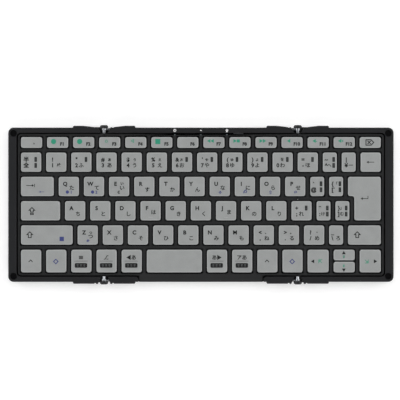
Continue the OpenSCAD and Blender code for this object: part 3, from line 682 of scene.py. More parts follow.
class KEYBOARD_OT_enter_key(Operator):
    """Models the enter key, whose upper part is wider than its lower part"""
    bl_idname = "keyboard.enter_key"
    bl_label = "Enter key"

    def execute(self, context):
        low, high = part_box("enter_key")
        verts = [v.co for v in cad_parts["enter_key"].data.vertices]
        floor = [v for v in verts if v.z < low.z + 1e-6]
        step_y = min(v.y for v in floor if v.x < low.x + 1e-5) - sizes().cap_corner
        waist = min(v.x for v in floor if v.y < low.y + 1e-5) - sizes().cap_corner
        piece = new_block("enter_key_cap", Vector((low.x, step_y, low.z)), high)
        edit(piece)
        bpy.ops.mesh.select_all(action="SELECT")
        bpy.ops.mesh.bisect(plane_co=(waist, 0, 0), plane_no=(1, 0, 0))
        choose(piece, "faces", lambda f: f.normal.y < -0.9 and f.calc_center_median().x > waist)
        bpy.ops.mesh.extrude_region_move(TRANSFORM_OT_translate={"value": (0, low.y - step_y, 0)})
        bpy.ops.mesh.select_all(action="SELECT")
        bpy.ops.mesh.dissolve_limited(angle_limit=math.radians(1))
        leave_edit()
        shape_cap(piece, high.z, low.z)
        paint = bpy.data.materials["grey_painted_abs"]
        settle(piece, "enter_key", [paint], "enter_key")
        return {"FINISHED"}


# Printed marks. A mark is a spot's name, an equals sign and what is printed there.
# A spot is its place on the cap from the left and from the rear edge, its type size and its ink.
SPOTS = {
    "ul": (0.32, 0.36, "letter", "black"), "ll": (0.32, 0.66, "letter", "black"),
    "ur": (0.645, 0.36, "small", "black"), "lr": (0.645, 0.66, "kana", "black"),
    "Ul": (0.26, 0.36, "letter", "black"), "Ll": (0.26, 0.66, "letter", "black"),
    "Um": (0.48, 0.36, "small", "black"), "Lm": (0.49, 0.66, "kana", "black"),
    "nu": (0.24, 0.36, "letter", "black"), "nl": (0.23, 0.66, "letter", "black"),
    "nm": (0.46, 0.36, "small", "black"), "nn": (0.46, 0.66, "small", "black"),
    "mr": (0.645, 0.57, "kana", "black"), "hr": (0.645, 0.33, "small", "black"),
    "eu": (0.48, 0.80, "small", "black"), "bd": (0.43, 0.79, "small", "blue"),
    "be": (0.62, 0.79, "small", "blue"), "bw": (0.52, 0.80, "small", "blue"),
    "fn": (0.72, 0.63, "function", "black"), "gi": (0.34, 0.36, "icon", "green"),
    "gd": (0.31, 0.42, "dot", "green"), "es": (0.62, 0.60, "function", "black"),
    "cc": (0.48, 0.50, "symbol", "black"), "cb": (0.48, 0.52, "letter", "blue"),
    "wl": (0.17, 0.49, "symbol", "black"), "sl": (0.28, 0.49, "symbol", "black"),
    "tl": (0.28, 0.45, "symbol", "black"), "tb": (0.64, 0.78, "kana", "blue"),
    "bb": (0.79, 0.70, "letter", "blue"), "ct": (0.48, 0.34, "kana", "black"),
    "al": (0.24, 0.51, "arrow", "black"), "ag": (0.60, 0.51, "kana", "green"),
    "ar": (0.74, 0.51, "arrow", "black"), "rg": (0.33, 0.51, "kana", "green"),
    "au": (0.48, 0.28, "arrow", "black"), "gu": (0.48, 0.66, "small", "green"),
    "ad": (0.48, 0.78, "arrow", "black"), "gl": (0.48, 0.36, "small", "green"),
    "en": (0.50, 0.50, "symbol", "black"),
}
LEGENDS = {
    "left_function_keys": ["es=escape", "gd=● fn=F1", "gd=● fn=F2"],
    "centre_function_keys": ["gi=⌂ fn=F3", "gi=◁ fn=F4", "gd=■ fn=F5", "fn=F6", "gi=◀◀ fn=F7",
                             "gi=▶■ fn=F8", "gi=▶▶ fn=F9", "gi=◀ fn=F10"],
    "right_function_keys": ["gi=◀- fn=F11", "gi=◀+ fn=F12", "cc=⌦"],
    "left_number_keys": ["Ul=半 Ll=全", "ul=! ll=1 lr=ぬ", 'Ul=" Ll=2 Lm=ふ'],
    "centre_number_keys": ["ul=# ll=3 lr=あ ur=ぁ", "ul=$ ll=4 lr=う ur=ぅ", "ul=% ll=5 lr=え ur=ぇ",
                           "Ul=& Ll=6 Lm=お Um=ぉ", "Ul=' Ll=7 Lm=や Um=ゃ", "Ul=( Ll=8 Lm=ゆ Um=ゅ",
                           "Ul=) Ll=9 Lm=よ Um=ょ", "Ll=0 Lm=わ Um=を"],
    "right_number_keys": ["Ul== Ll=- Lm=ほ", "nu=~ nl=^ nn=へ", "ul=| ll=¥ lr=ー", "cc=back"],
    "left_upper_keys": ["tl=tab tb=untab", "ul=Q mr=た bd=● be=1", "ul=W mr=て bd=● be=2"],
    "centre_upper_keys": ["ul=E hr=ぃ mr=い eu=€", "ul=R lr=す", "ul=T lr=か", "ul=Y lr=ん",
                          "ul=U mr=な bw=⎀", "ul=I mr=に bw=⎙", "ul=O mr=ら bw=⇳", "ul=P mr=せ bw=⎉"],
    "right_upper_keys": ["nu=` nl=@ nn=゛", "nu={ nl=[ nn=゜ nm=「"],
    "left_home_keys": ["sl=⇪", "ul=A lr=ち", "ul=S lr=と"],
    "centre_home_keys": ["ul=D lr=し", "ul=F mr=は", "ul=G lr=き", "ul=H lr=く", "ul=J mr=ま",
                         "ul=K lr=の", "ul=L lr=り"],
    "right_home_keys": ["Ul=+ Ll=; Lm=れ", "nu=* nl=: nn=け", "nu=} nm=」 nl=] nn=む"],
    "left_lower_keys": ["wl=⇧ bb=■", "ul=Z ur=っ mr=つ bw=⎊"],
    "centre_lower_keys": ["ul=X lr=さ", "ul=C lr=そ", "ul=V lr=ひ", "ul=B lr=こ", "ul=N lr=み",
                          "ul=M lr=も", "ul=< ll=, lr=ね ur=、", "ul=> ll=. lr=る ur=。"],
    "right_lower_keys": ["ul=? ll=/ lr=め ur=・", "nu=_ nl=\\ lr=ろ", "sl=⇧"],
    "left_front_keys": ["cc=control", "cb=◇", "ct=☰"],
    "centre_front_keys": ["ct=⎇", "ct=◀あ", "ct=あ▶", "ct=アあ", "cc=control", "cb=◇"],
    "right_front_keys": ["al=◀ ag=⇱", "au=▲ gu=⇞", "gl=⇟ ad=▼", "rg=⇲ ar=▶"],
    "enter_key": ["en=enter"],
}
# Small black labels: how many a key has, by its place in the row
SMALL_BADGES = {
    "left_number_keys": (2, 0, 1), "centre_number_keys": (0, 0, 0, 1, 1, 1, 1, 1),
    "right_number_keys": (1, 2, 0, 0), "right_upper_keys": (2, 2), "right_home_keys": (1, 2, 2),
}
# Wide black labels under a thin line, by place in the row
WIDE_BADGES = {"left_front_keys": (2,), "centre_front_keys": (0, 1, 2, 3)}
# Arrows that are drawn as outlines round their middle, in millimetres
TO_LEFT = ((-2.9, 0), (-1.3, 1.05), (-1.3, 0.24), (2.9, 0.24), (2.9, -0.24), (-1.3, -0.24), (-1.3, -1.05))
TO_RIGHT = tuple((-x, y) for x, y in TO_LEFT)
DRAWN = {
    "back": (TO_LEFT,),
    "tab": (TO_RIGHT, ((3.1, 1.2), (3.55, 1.2), (3.55, -1.2), (3.1, -1.2))),
    "untab": (TO_LEFT, ((-3.55, 1.2), (-3.1, 1.2), (-3.1, -1.2), (-3.55, -1.2))),
    "enter": (((-2.9, 0), (-1.3, 1.05), (-1.3, 0.24), (2.42, 0.24), (2.42, 2.1), (2.9, 2.1),
               (2.9, -0.24), (-1.3, -0.24), (-1.3, -1.05)),),
    "escape": (((-1.1, -0.8), (-0.3, 0), (-1.1, 0.8), (-0.8, 1.1), (0, 0.3), (0.8, 1.1), (1.1, 0.8),
                (0.3, 0), (1.1, -0.8), (0.8, -1.1), (0, -0.3), (-0.8, -1.1)),),
    "control": (((-1.7, -0.5), (0, 1.3), (1.7, -0.5), (1.3, -0.9), (0, 0.45), (-1.3, -0.9)),),
}
# How much higher than its line the middle of a character stands, as a share of its type size
MID_HEIGHT = 0.36


class KEYBOARD_OT_legends(Operator):
    """Prints generic characters and symbols on the caps"""
    bl_idname = "keyboard.legends"
    bl_label = "Legends"

    def execute(self, context):
        tones = colours()
        self.inks = {"black": printed_ink("black_pad_ink", tones.black_ink),
                     "green": printed_ink("green_pad_ink", tones.green_ink),
                     "blue": printed_ink("blue_pad_ink", tones.blue_ink),
                     "white": printed_ink("white_pad_ink", tones.white_ink),
                     "grey": printed_ink("grey_pad_ink", tones.grey_ink)}
        size = sizes()
        self.type_sizes = {"letter": size.letter_size, "kana": size.kana_size,
                           "small": size.kana_size*0.78, "function": size.kana_size*0.86,
                           "icon": size.kana_size*0.72, "dot": size.letter_size*1.2,
                           "arrow": size.kana_size*0.72, "symbol": size.symbol_size}
        for node, keys in LEGENDS.items():
            boxes = solid_boxes(node)
            if len(boxes) != len(keys):
                raise RuntimeError(f"{node} has {len(boxes)} caps and {len(keys)} legends")
            marks = []
            for i, (key, box) in enumerate(zip(keys, boxes)):
                for mark in key.split():
                    marks.append(self.character(mark, box))
                count = SMALL_BADGES.get(node, (0,)*len(keys))[i]
                narrow = box[1].x - box[0].x < 12*MM
                for spot in range(count):
                    marks.extend(self.small_badge(box, 0.77 if narrow else 0.73, 0.36 + 0.31*spot, narrow))
                if i in WIDE_BADGES.get(node, ()):
                    marks.extend(self.wide_badge(box))
            piece = joined(marks, f"{node.replace('_keys', '')}_print")
            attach(piece, node)
        return {"FINISHED"}

    def at(self, box, across, down):
        low, high = box
        return Vector((low.x + across*(high.x - low.x), high.y - down*(high.y - low.y),
                       CAP_TOP + sizes().ink_height/4))

    def character(self, mark, box):
        spot, _, text = mark.partition("=")
        across, down, kind, ink = SPOTS[spot]
        if text in DRAWN:
            return outlined(DRAWN[text], self.at(box, across, down), kind == "symbol", self.inks[ink])
        em = self.type_sizes[kind]
        point = self.at(box, across, down) - Vector((0, MID_HEIGHT*em, 0))
        stroke = sizes().stroke if kind in ("letter", "function") else sizes().fine_stroke
        return printed(text, point, em, stroke, self.inks[ink])

    def small_badge(self, box, across, down, narrow):
        size = sizes()
        point = self.at(box, across, down)
        half = Vector((size.badge_width/2, size.badge_height/2, size.ink_height/2))
        if narrow:
            half.y *= 0.98
        label = flat_label("small_label", point, half, 0.4*MM, self.inks["black"])
        lift = Vector((0, 0, size.ink_height/2))
        bars = [flat_label("label_bar", point + Vector((0, up*size.badge_height, 0)) + lift,
                           Vector((wide*MM, 0.11*MM, size.ink_height/2)), 0.08*MM, self.inks["grey"])
                for up, wide in ((0.3, 0.5), (0.1, 0.35), (-0.1, 0.5), (-0.3, 0.3))]
        return [label, *bars]

    def wide_badge(self, box):
        thick = sizes().ink_height/2
        middle_x = 0.48
        line = flat_label("thin_line", self.at(box, middle_x, 0.5), Vector((5*MM, 0.12*MM, thick)),
                          0.08*MM, self.inks["black"])
        point = self.at(box, middle_x, 0.69)
        label = flat_label("wide_label", point, Vector((4.7*MM, 1.75*MM, thick)), 0.8*MM,
                           self.inks["black"])
        marks = [flat_label("label_mark", point + Vector((x*MM, up*MM, thick)),
                            Vector((wide*MM, 0.2*MM, thick)), 0.12*MM, self.inks["grey"])
                 for x in (-2.5, 0, 2.5) for up, wide in ((0.45, 0.75), (-0.45, 0.5))]
        return [line, label, *marks]


def printed(text, point, em, stroke, ink):
    """A character as a very thin closed solid; its line starts below the given point."""
    bpy.ops.object.select_all(action="DESELECT")
    bpy.ops.object.text_add(location=point)
    piece = bpy.context.object
    piece.data.body = text
    piece.data.size = em
    piece.data.align_x = "CENTER"
    piece.data.extrude = sizes().ink_height/2
    piece.data.offset = stroke
    piece.data.resolution_u = 3
    piece.data.materials.append(ink)
    bpy.ops.object.convert(target="MESH")
    return bpy.context.object


def outlined(loops, point, full_size, ink):
    """Closed outlines as a very thin solid round a point, or at six tenths of their size."""
    curve = bpy.data.curves.new("outline", "CURVE")
    curve.dimensions = "2D"
    curve.fill_mode = "BOTH"
    curve.extrude = sizes().ink_height/2
    scale = (1 if full_size else 0.6)*MM
    for loop in loops:
        line = curve.splines.new("POLY")
        line.points.add(len(loop) - 1)
        for spot, (x, y) in zip(line.points, loop):
            spot.co = (x*scale, y*scale, 0, 1)
        line.use_cyclic_u = True
    curve.materials.append(ink)
    piece = bpy.data.objects.new("outline", curve)
    piece.location = point
    bpy.context.scene.collection.objects.link(piece)
    activate(piece)
    bpy.ops.object.convert(target="MESH")
    return bpy.context.object


def flat_label(name, point, half, corner, ink):
    """A thin plate with round corners."""
    piece = new_block(name, point - half, point + half)
    edit(piece)
    choose(piece, "edges", is_upright)
    bpy.ops.mesh.bevel(offset=corner, segments=3, affect="EDGES")
    leave_edit()
    piece.data.materials.append(ink)
    return piece


# Case

def rim_share(edge):
    """Full rounding along the rim's outside, less on the other edges, none on small bores."""
    size = sizes()
    small = size.edge_round/size.rim_round
    if edge.calc_length() < 0.3*MM:
        return 0
    point = middle(edge)
    near_hinge = hinge_distance(point) < 7.8*MM and abs(point.y) > CASE_Y - 6*MM
    if near_hinge:
        return small*0.6
    level_top = all(abs(v.co.z - RIM_TOP) < 1e-5 for v in edge.verts)
    side = min(edge.link_faces, key=lambda f: abs(f.normal.z)).normal
    from_middle = point - Vector((math.copysign(105*MM, point.x), 0, 0))
    if abs(point.x) < HINGE.x:
        outward = side.y*point.y > 0
    else:
        outward = side.x*from_middle.x + side.y*from_middle.y > 0
    return 1 if level_top and outward else small


class KEYBOARD_OT_rims(Operator):
    """Rounds the edges of the side rims, the rear rail and the two front hinge arms"""
    bl_idname = "keyboard.rims"
    bl_label = "Rims"

    def execute(self, context):
        skin = moulded_abs("black_moulded_abs", colours().rim, 0.28, 0.02, 0.5)
        for node, body in (("left_rim_frame", "left_panel"), ("right_rim_frame", "right_panel"),
                           ("rear_rail", "centre"), ("front_hinge_arms", "centre")):
            piece = merged_copy(node, node.replace("_frame", "") + "_shell")
            discs = solid_boxes(f"{body.split('_')[0]}_corner_magnets") if "rim" in node else []
            for low, high in discs:
                self.close_pocket(piece, low, high)
            softened(piece, sizes().rim_round, rim_share, 3)
            for low, high in discs:
                self.cut_pocket(piece, low, high)
            even_shading(piece)
            settle(piece, body, [skin], node)
        return {"FINISHED"}

    def close_pocket(self, piece, low, high):
        """Fills a magnet's pocket level with the rim's top, so that the rounding runs past it."""
        centre = (low + high)/2
        reach = (high.x - low.x)/2 + 0.2*MM

        def inside(vert):
            return (vert.co - centre).xy.length < reach and vert.co.z > low.z - 0.05*MM

        edit(piece)
        choose(piece, "faces", lambda f: all(inside(v) for v in f.verts))
        bpy.ops.mesh.delete(type="FACE")
        choose(piece, "edges", lambda e: e.is_boundary)
        bpy.ops.mesh.edge_face_add()
        bpy.ops.mesh.select_all(action="SELECT")
        bpy.ops.mesh.dissolve_limited(angle_limit=math.radians(1))
        leave_edit()

    def cut_pocket(self, piece, low, high):
        """Cuts the pocket back in, with a narrow chamfer round its mouth."""
        radius = (high.x - low.x)/2 + 0.1*MM
        chamfer = 0.15*MM
        tall = RIM_TOP - chamfer - low.z
        foot = Vector(((low.x + high.x)/2, (low.y + high.y)/2, low.z))
        bpy.ops.object.select_all(action="DESELECT")
        bpy.ops.mesh.primitive_cylinder_add(vertices=48, radius=radius, depth=tall,
                                            location=foot + Vector((0, 0, tall/2)))
        cutter = bpy.context.object
        bpy.ops.object.transform_apply(location=True, rotation=False, scale=False)
        edit(cutter)
        choose(cutter, "faces", lambda f: f.normal.z > 0.99)
        bpy.ops.mesh.extrude_region_move(TRANSFORM_OT_translate={"value": (0, 0, 2*chamfer)})
        flare = (radius + 2*chamfer)/radius
        bpy.ops.transform.resize(value=(flare, flare, 1))
        leave_edit()
        activate(piece)
        cut = piece.modifiers.new("Pocket", "BOOLEAN")
        cut.operation = "DIFFERENCE"
        cut.object = cutter
        bpy.ops.object.modifier_apply(modifier=cut.name)
        discard([cutter])
        smooth(piece)


class KEYBOARD_OT_covers(Operator):
    """Rounds the outer edges of the three bottom covers"""
    bl_idname = "keyboard.covers"
    bl_label = "Bottom covers"

    def execute(self, context):
        skin = moulded_abs("coarse_moulded_abs", colours().cover, 0.4, 0.03, 0.55)
        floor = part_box("centre_bottom_cover")[0].z

        def share(edge):
            if edge.calc_length() < 0.3*MM:
                return 0
            outside = max(abs(middle(edge).x)/CASE_X, abs(middle(edge).y)/CASE_Y) > 0.96
            return 1 if outside and middle(edge).z < floor + 0.1*MM else 0.4

        for panel in PANELS:
            node = f"{panel}_bottom_cover"
            piece = merged_copy(node, f"{panel}_cover_shell")
            softened(piece, 0.4*MM, share)
            if panel == "centre":
                lips = [self.fold_lip(side, end, floor) for side in (-1, 1) for end in (-1, 1)]
                piece = joined([piece, *lips], piece.name)
            even_shading(piece)
            settle(piece, BODIES[panel], [skin], node)
        return {"FINISHED"}

    def fold_lip(self, side, end, floor):
        """A ledge in the groove that hides the gap between the centre cover and a side cover."""
        top = floor + 1*MM
        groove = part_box("left_deck")[1].y
        xs = sorted(side*(HINGE.x + x*MM) for x in (-1, 0.55))
        ys = sorted(end*(groove + y*MM) for y in (0.01, 0.99))
        piece = new_block("fold_lip", Vector((xs[0], ys[0], top - 0.05*MM)),
                          Vector((xs[1], ys[1], top + 0.5*MM)))
        edit(piece)
        bpy.ops.mesh.select_all(action="SELECT")
        bpy.ops.mesh.bisect(plane_co=(0, 0, top + 0.12*MM), plane_no=(0, 0, 1))
        choose(piece, "faces", lambda f: f.normal.x*side > 0.9 and f.calc_center_median().z > top + 0.12*MM)
        bpy.ops.mesh.extrude_region_move(TRANSFORM_OT_translate={"value": (side*0.8*MM, 0, 0)})
        leave_edit()
        return piece


class KEYBOARD_OT_decks(Operator):
    """Rounds the strips of the three decks that stand between the keys"""
    bl_idname = "keyboard.decks"
    bl_label = "Decks"

    def execute(self, context):
        skin = moulded_abs("charcoal_moulded_abs", colours().deck, 0.3, 0.02, 0.46)

        def share(edge):
            return 1 if all(abs(v.co.z - DECK_TOP) < 1e-5 for v in edge.verts) else 0

        for panel in PANELS:
            node = f"{panel}_deck"
            piece = merged_copy(node, f"{panel}_deck_web")
            softened(piece, sizes().deck_round, share)
            even_shading(piece)
            settle(piece, BODIES[panel], [skin], node)
        return {"FINISHED"}


class KEYBOARD_OT_feet(Operator):
    """Models the rubber feet with a rounded edge and a ribbed sole"""
    bl_idname = "keyboard.feet"
    bl_label = "Feet"

    def execute(self, context):
        skin = rubber("black_silicone_rubber", colours().rubber)
        for panel in PANELS:
            node = f"{panel}_feet"
            piece = merged_copy(node, f"{panel}_rubber_feet")
            softened(piece, 0.15*MM, lambda e: 1 if middle(e).z < 0.01*MM else 0)
            edit(piece)
            choose(piece, "faces", lambda f: f.normal.z < -0.99)
            bpy.ops.mesh.inset(thickness=0.6*MM)
            bpy.ops.mesh.extrude_region_move(TRANSFORM_OT_translate={"value": (0, 0, 0.12*MM)})
            bpy.ops.mesh.inset(thickness=0.5*MM)
            bpy.ops.mesh.extrude_region_move(TRANSFORM_OT_translate={"value": (0, 0, -0.12*MM)})
            leave_edit()
            smooth(piece)
            settle(piece, BODIES[panel], [skin], node)
        return {"FINISHED"}


# Hinges

class KEYBOARD_OT_hinges(Operator):
    """Models the hinge pins and leaves"""
    bl_idname = "keyboard.hinges"
    bl_label = "Hinges"

    def execute(self, context):
        steel = turned_steel("turned_stainless_steel", linear("#a3a6aa"), 0.3, 0.25)
        for panel in ("left", "right"):
            node = f"{panel}_hinge_pins"
            piece = merged_copy(node, f"{panel}_pins")
            softened(piece, 0.25*MM, lambda e: 1 if e.calc_length() < 1*MM and
                     abs(e.verts[0].co.y - e.verts[1].co.y) < 1e-6 else 0)
            settle(piece, BODIES[panel], [steel], node)
        piece = merged_copy("hinge_leaves", "steel_leaves")
        softened(piece, 0.12*MM, lambda e: 1 if e.calc_length() > 0.2*MM else 0.5)
        settle(piece, "centre", [steel], "hinge_leaves")
        return {"FINISHED"}


class KEYBOARD_OT_magnets(Operator):
    """Models the corner magnets with a turned-down rim, and the bar magnets"""
    bl_idname = "keyboard.magnets"
    bl_label = "Magnets"

    def execute(self, context):
        # Near black and dull: the magnets' own black lacquer, darkened further as painted shade of the pocket round
        # them
        lacquer_and_shade = magnet_coat("black_lacquered_magnet", linear("#050506"), 0.0, 0.45, 0.06)
        nickel = magnet_coat("nickel_plated_magnet", linear("#a2a5a8"), 1.0, 0.2)
        for panel in ("left", "right"):
            node = f"{panel}_corner_magnets"
            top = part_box(node)[1].z
            piece = merged_copy(node, f"{panel}_magnet_discs")
            edit(piece)
            choose(piece, "faces", lambda f: f.normal.z > 0.99)
            bpy.ops.mesh.inset(thickness=0.35*MM)
            bpy.ops.mesh.inset(thickness=0.12*MM)
            bpy.ops.transform.translate(value=(0, 0, -0.18*MM))
            leave_edit()
            softened(piece, 0.12*MM, lambda e: 1 if middle(e).z > top - 0.01*MM else 0)
            settle(piece, BODIES[panel], [lacquer_and_shade], node)
        piece = merged_copy("closing_magnets", "bar_magnets")
        softened(piece, 0.12*MM, lambda e: 1)
        settle(piece, "centre", [nickel], "closing_magnets")
        return {"FINISHED"}


class KEYBOARD_OT_screws(Operator):
    """Models one cross-headed screw and copies it to every screw's place"""
    bl_idname = "keyboard.screws"
    bl_label = "Screws"

    def execute(self, context):
        steel = turned_steel("blackened_screw_steel", linear("#4a4c50"), 0.35, 0.2)
        model, place = None, None
        for panel in PANELS:
            node = f"{panel}_screws"
            copies = []
            for low, high in solid_boxes(node):
                centre = Vector(((low.x + high.x)/2, (low.y + high.y)/2, low.z))
                if model is None:
                    model, place = self.model(centre, high.z - low.z, high.x - low.x), centre
                copies.append(copied(model, centre - place))
            settle(joined(copies, f"{panel}_screw_set"), BODIES[panel], [steel], node)
        discard([model])
        return {"FINISHED"}

    def model(self, foot, tall, wide):
        """A shank with rings for its thread, and a head with a cross cut into it."""
        head = 0.45*MM
        shank = 0.7*MM
        bpy.ops.object.select_all(action="DESELECT")
        bpy.ops.mesh.primitive_cylinder_add(vertices=24, radius=wide/2, depth=head,
                                            location=foot + Vector((0, 0, head/2)))
        piece = bpy.context.object
        bpy.ops.object.transform_apply(location=True, rotation=False, scale=False)
        edit(piece)
        choose(piece, "faces", lambda f: f.normal.z > 0.99)
        bpy.ops.mesh.inset(thickness=wide/2 - shank)
        turns = 10
        pitch = (tall - head)/turns
        for turn in range(turns):
            for grow in (-0.08, 0.08):
                bpy.ops.mesh.extrude_region_move(TRANSFORM_OT_translate={"value": (0, 0, pitch/2)})
                factor = (shank + grow*MM/2)/(shank - grow*MM/2) if turn or grow > 0 else 0.94
                bpy.ops.transform.resize(value=(factor, factor, 1))
        choose(piece, "edges", lambda e: all(v.co.z < foot.z + 0.01*MM for v in e.verts))
        bpy.ops.mesh.bevel(offset=0.12*MM, segments=2, affect="EDGES")
        leave_edit()
        for across in (Vector((0.75, 0.14, 0.22)), Vector((0.14, 0.75, 0.22))):
            cutter = new_block("cross_cutter", foot - across*MM, foot + across*MM)
            activate(piece)
            cut = piece.modifiers.new("Cross", "BOOLEAN")
            cut.operation = "DIFFERENCE"
            cut.object = cutter
            bpy.ops.object.modifier_apply(modifier=cut.name)
            discard([cutter])
        smooth(piece)
        return piece


# Inner parts

class KEYBOARD_OT_domes(Operator):
    """Spins one rubber dome of each size and sets a copy under every key"""
    bl_idname = "keyboard.domes"
    bl_label = "Rubber domes"

    def execute(self, context):
        skin = rubber("milky_silicone_rubber", linear("#a9aaa6"))
        models = {}
        for panel in PANELS:
            rows = {}
            keys = panel_keys(panel)
            for low, high in solid_boxes(f"{panel}_domes"):
                wide = round(high.x - low.x, 5)
                centre = Vector(((low.x + high.x)/2, (low.y + high.y)/2, low.z))
                if wide not in models:
                    models[wide] = (self.model(centre, wide/2, high.z - low.z), centre)
                model, place = models[wide]
                rows.setdefault(key_above(keys, centre), []).append(copied(model, centre - place))
            for body, copies in rows.items():
                piece = joined(copies, f"{body.replace('_keys', '')}_domes")
                settle(piece, BODIES[panel], [skin], f"{panel}_domes")
                flatten(piece, body)
        discard([model for model, place in models.values()])
        return {"FINISHED"}

    def model(self, foot, radius, tall):
        """A dome's profile, spun about its own axis."""
        bpy.ops.object.select_all(action="DESELECT")
        bpy.ops.mesh.primitive_plane_add(size=MM, location=foot)
        piece = bpy.context.object
        bpy.ops.object.transform_apply(location=True, rotation=False, scale=False)
        cap = min(0.45*radius, 1*MM)
        profile = ((0, 0), (radius, 0), (radius*0.98, 0.12*tall), (radius*0.84, 0.3*tall),
                   (cap*1.15, 0.62*tall), (cap, 0.72*tall), (cap, tall), (0, tall))
        edit(piece)
        bpy.context.tool_settings.mesh_select_mode = (True, False, False)
        bpy.ops.mesh.select_all(action="SELECT")
        bpy.ops.mesh.delete(type="ONLY_FACE")
        bpy.ops.mesh.select_all(action="SELECT")
        bpy.ops.mesh.merge(type="CENTER")
        for before, after in zip(profile, profile[1:]):
            step = (after[0] - before[0], 0, after[1] - before[1])
            bpy.ops.mesh.extrude_region_move(TRANSFORM_OT_translate={"value": step})
        bpy.ops.mesh.select_all(action="SELECT")
        bpy.ops.mesh.spin(steps=20, angle=math.tau, center=foot, axis=(0, 0, 1))
        bpy.ops.mesh.select_all(action="SELECT")
        bpy.ops.mesh.remove_doubles(threshold=0.005*MM)
        bpy.ops.mesh.normals_make_consistent(inside=False)
        leave_edit()
        smooth(piece, 50)
        return piece


def panel_keys(panel):
    """The boxes of a panel's keys, by the name of their body."""
    names = {"centre": ["space_bar"], "right": ["enter_key"], "left": []}[panel]
    names += [f"{panel}_{row}_keys" for row in ROWS]
    return {name: solid_boxes(name) for name in names}


def key_above(keys, point):
    """The body of the key above a point."""
    for name, boxes in keys.items():
        for low, high in boxes:
            if low.x <= point.x <= high.x and low.y <= point.y <= high.y:
                return name
    raise RuntimeError(f"no key stands above {tuple(point)}")


def flatten(piece, body):
    """Gives the piece a mesh of its own."""
    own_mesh(piece)


class KEYBOARD_OT_scissors(Operator):
    """Splits the scissor links by row"""
    bl_idname = "keyboard.scissors"
    bl_label = "Scissor links"

    def execute(self, context):
        skin = acetal()
        for panel in PANELS:
            node = f"{panel}_scissors"
            keys = panel_keys(panel)
            rows = {}
            for low, high in solid_boxes(node):
                rows.setdefault(key_above(keys, (low + high)/2), []).append((low, high))
            for body, boxes in rows.items():
                piece = merged_copy(node, f"{body.replace('_keys', '')}_links")
                edit(piece)
                choose(piece, "verts", lambda v: not any(
                    all(low[i] - 1e-5 <= v.co[i] <= high[i] + 1e-5 for i in range(3))
                    for low, high in boxes))
                bpy.ops.mesh.delete(type="VERT")
                leave_edit()
                softened(piece, 0.1*MM, lambda e: 1 if e.calc_length() > 1*MM else 0, 1)
                settle(piece, BODIES[panel], [skin], node)
                flatten(piece, body)
        return {"FINISHED"}


class KEYBOARD_OT_ribbons(Operator):
    """Models the two ribbon cables as flat strips, sliced across"""
    bl_idname = "keyboard.ribbons"
    bl_label = "Ribbon cables"

    def execute(self, context):
        film = ribbon_film()
        for panel, side in (("left", -1), ("right", 1)):
            node = f"{panel}_ribbon_cable"
            low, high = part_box(node)
            thick = 0.25*MM
            piece = new_block(f"{panel}_ribbon", low, Vector((high.x, high.y, low.z + thick)))
            edit(piece)
            start, end = low.x, high.x
            for i in range(1, 40):
                bpy.ops.mesh.select_all(action="SELECT")
                bpy.ops.mesh.bisect(plane_co=(start + (end - start)*i/40, 0, 0), plane_no=(1, 0, 0))
            leave_edit()
            smooth(piece)
            piece.data.materials.append(film)
            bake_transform(piece)
            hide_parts(node)
        return {"FINISHED"}


class KEYBOARD_OT_inner_parts(Operator):
    """Dresses the plates, membranes, board, battery, socket and lights"""
    bl_idname = "keyboard.inner_parts"
    bl_label = "Inner parts"

    def execute(self, context):
        steel = sheet_with_painted_shade()
        film = film_with_painted_shade()
        for panel in PANELS:
            # The support plates are nearly black: painted shade where they show between the keys
            dress(f"{panel}_support_plate", steel)
            # The membranes are darkened as painted shade in the wells round the keys
            dress(f"{panel}_membrane", film)
        dress("main_board", circuit_board())
        dress("battery", pouch_foil())
        dress("charging_socket", magnet_coat("drawn_socket_steel", linear("#a8abaf"), 1.0, 0.25))
        dress("status_lights", frosted_pipe())
        return {"FINISHED"}


class KEYBOARD_OT_rail_marks(Operator):
    """Prints three small symbols on the rear rail, above the status lights"""
    bl_idname = "keyboard.rail_marks"
    bl_label = "Rail marks"

    def execute(self, context):
        ink = bpy.data.materials["white_pad_ink"]
        em = 2.4*MM
        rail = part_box("rear_rail")
        y = (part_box("left_deck")[1].y + CASE_Y)/2 + 0.3*MM - MID_HEIGHT*em
        lights = solid_boxes("status_lights")
        stroke = sizes().fine_stroke
        marks = [printed(text, Vector(((low.x + high.x)/2, y, rail[1].z + 0.01*MM)), em, stroke, ink)
                 for text, (low, high) in zip("⏻⌁⇪", lights)]
        piece = joined(marks, "rail_marks")
        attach(piece, "centre")
        return {"FINISHED"}


# Stage

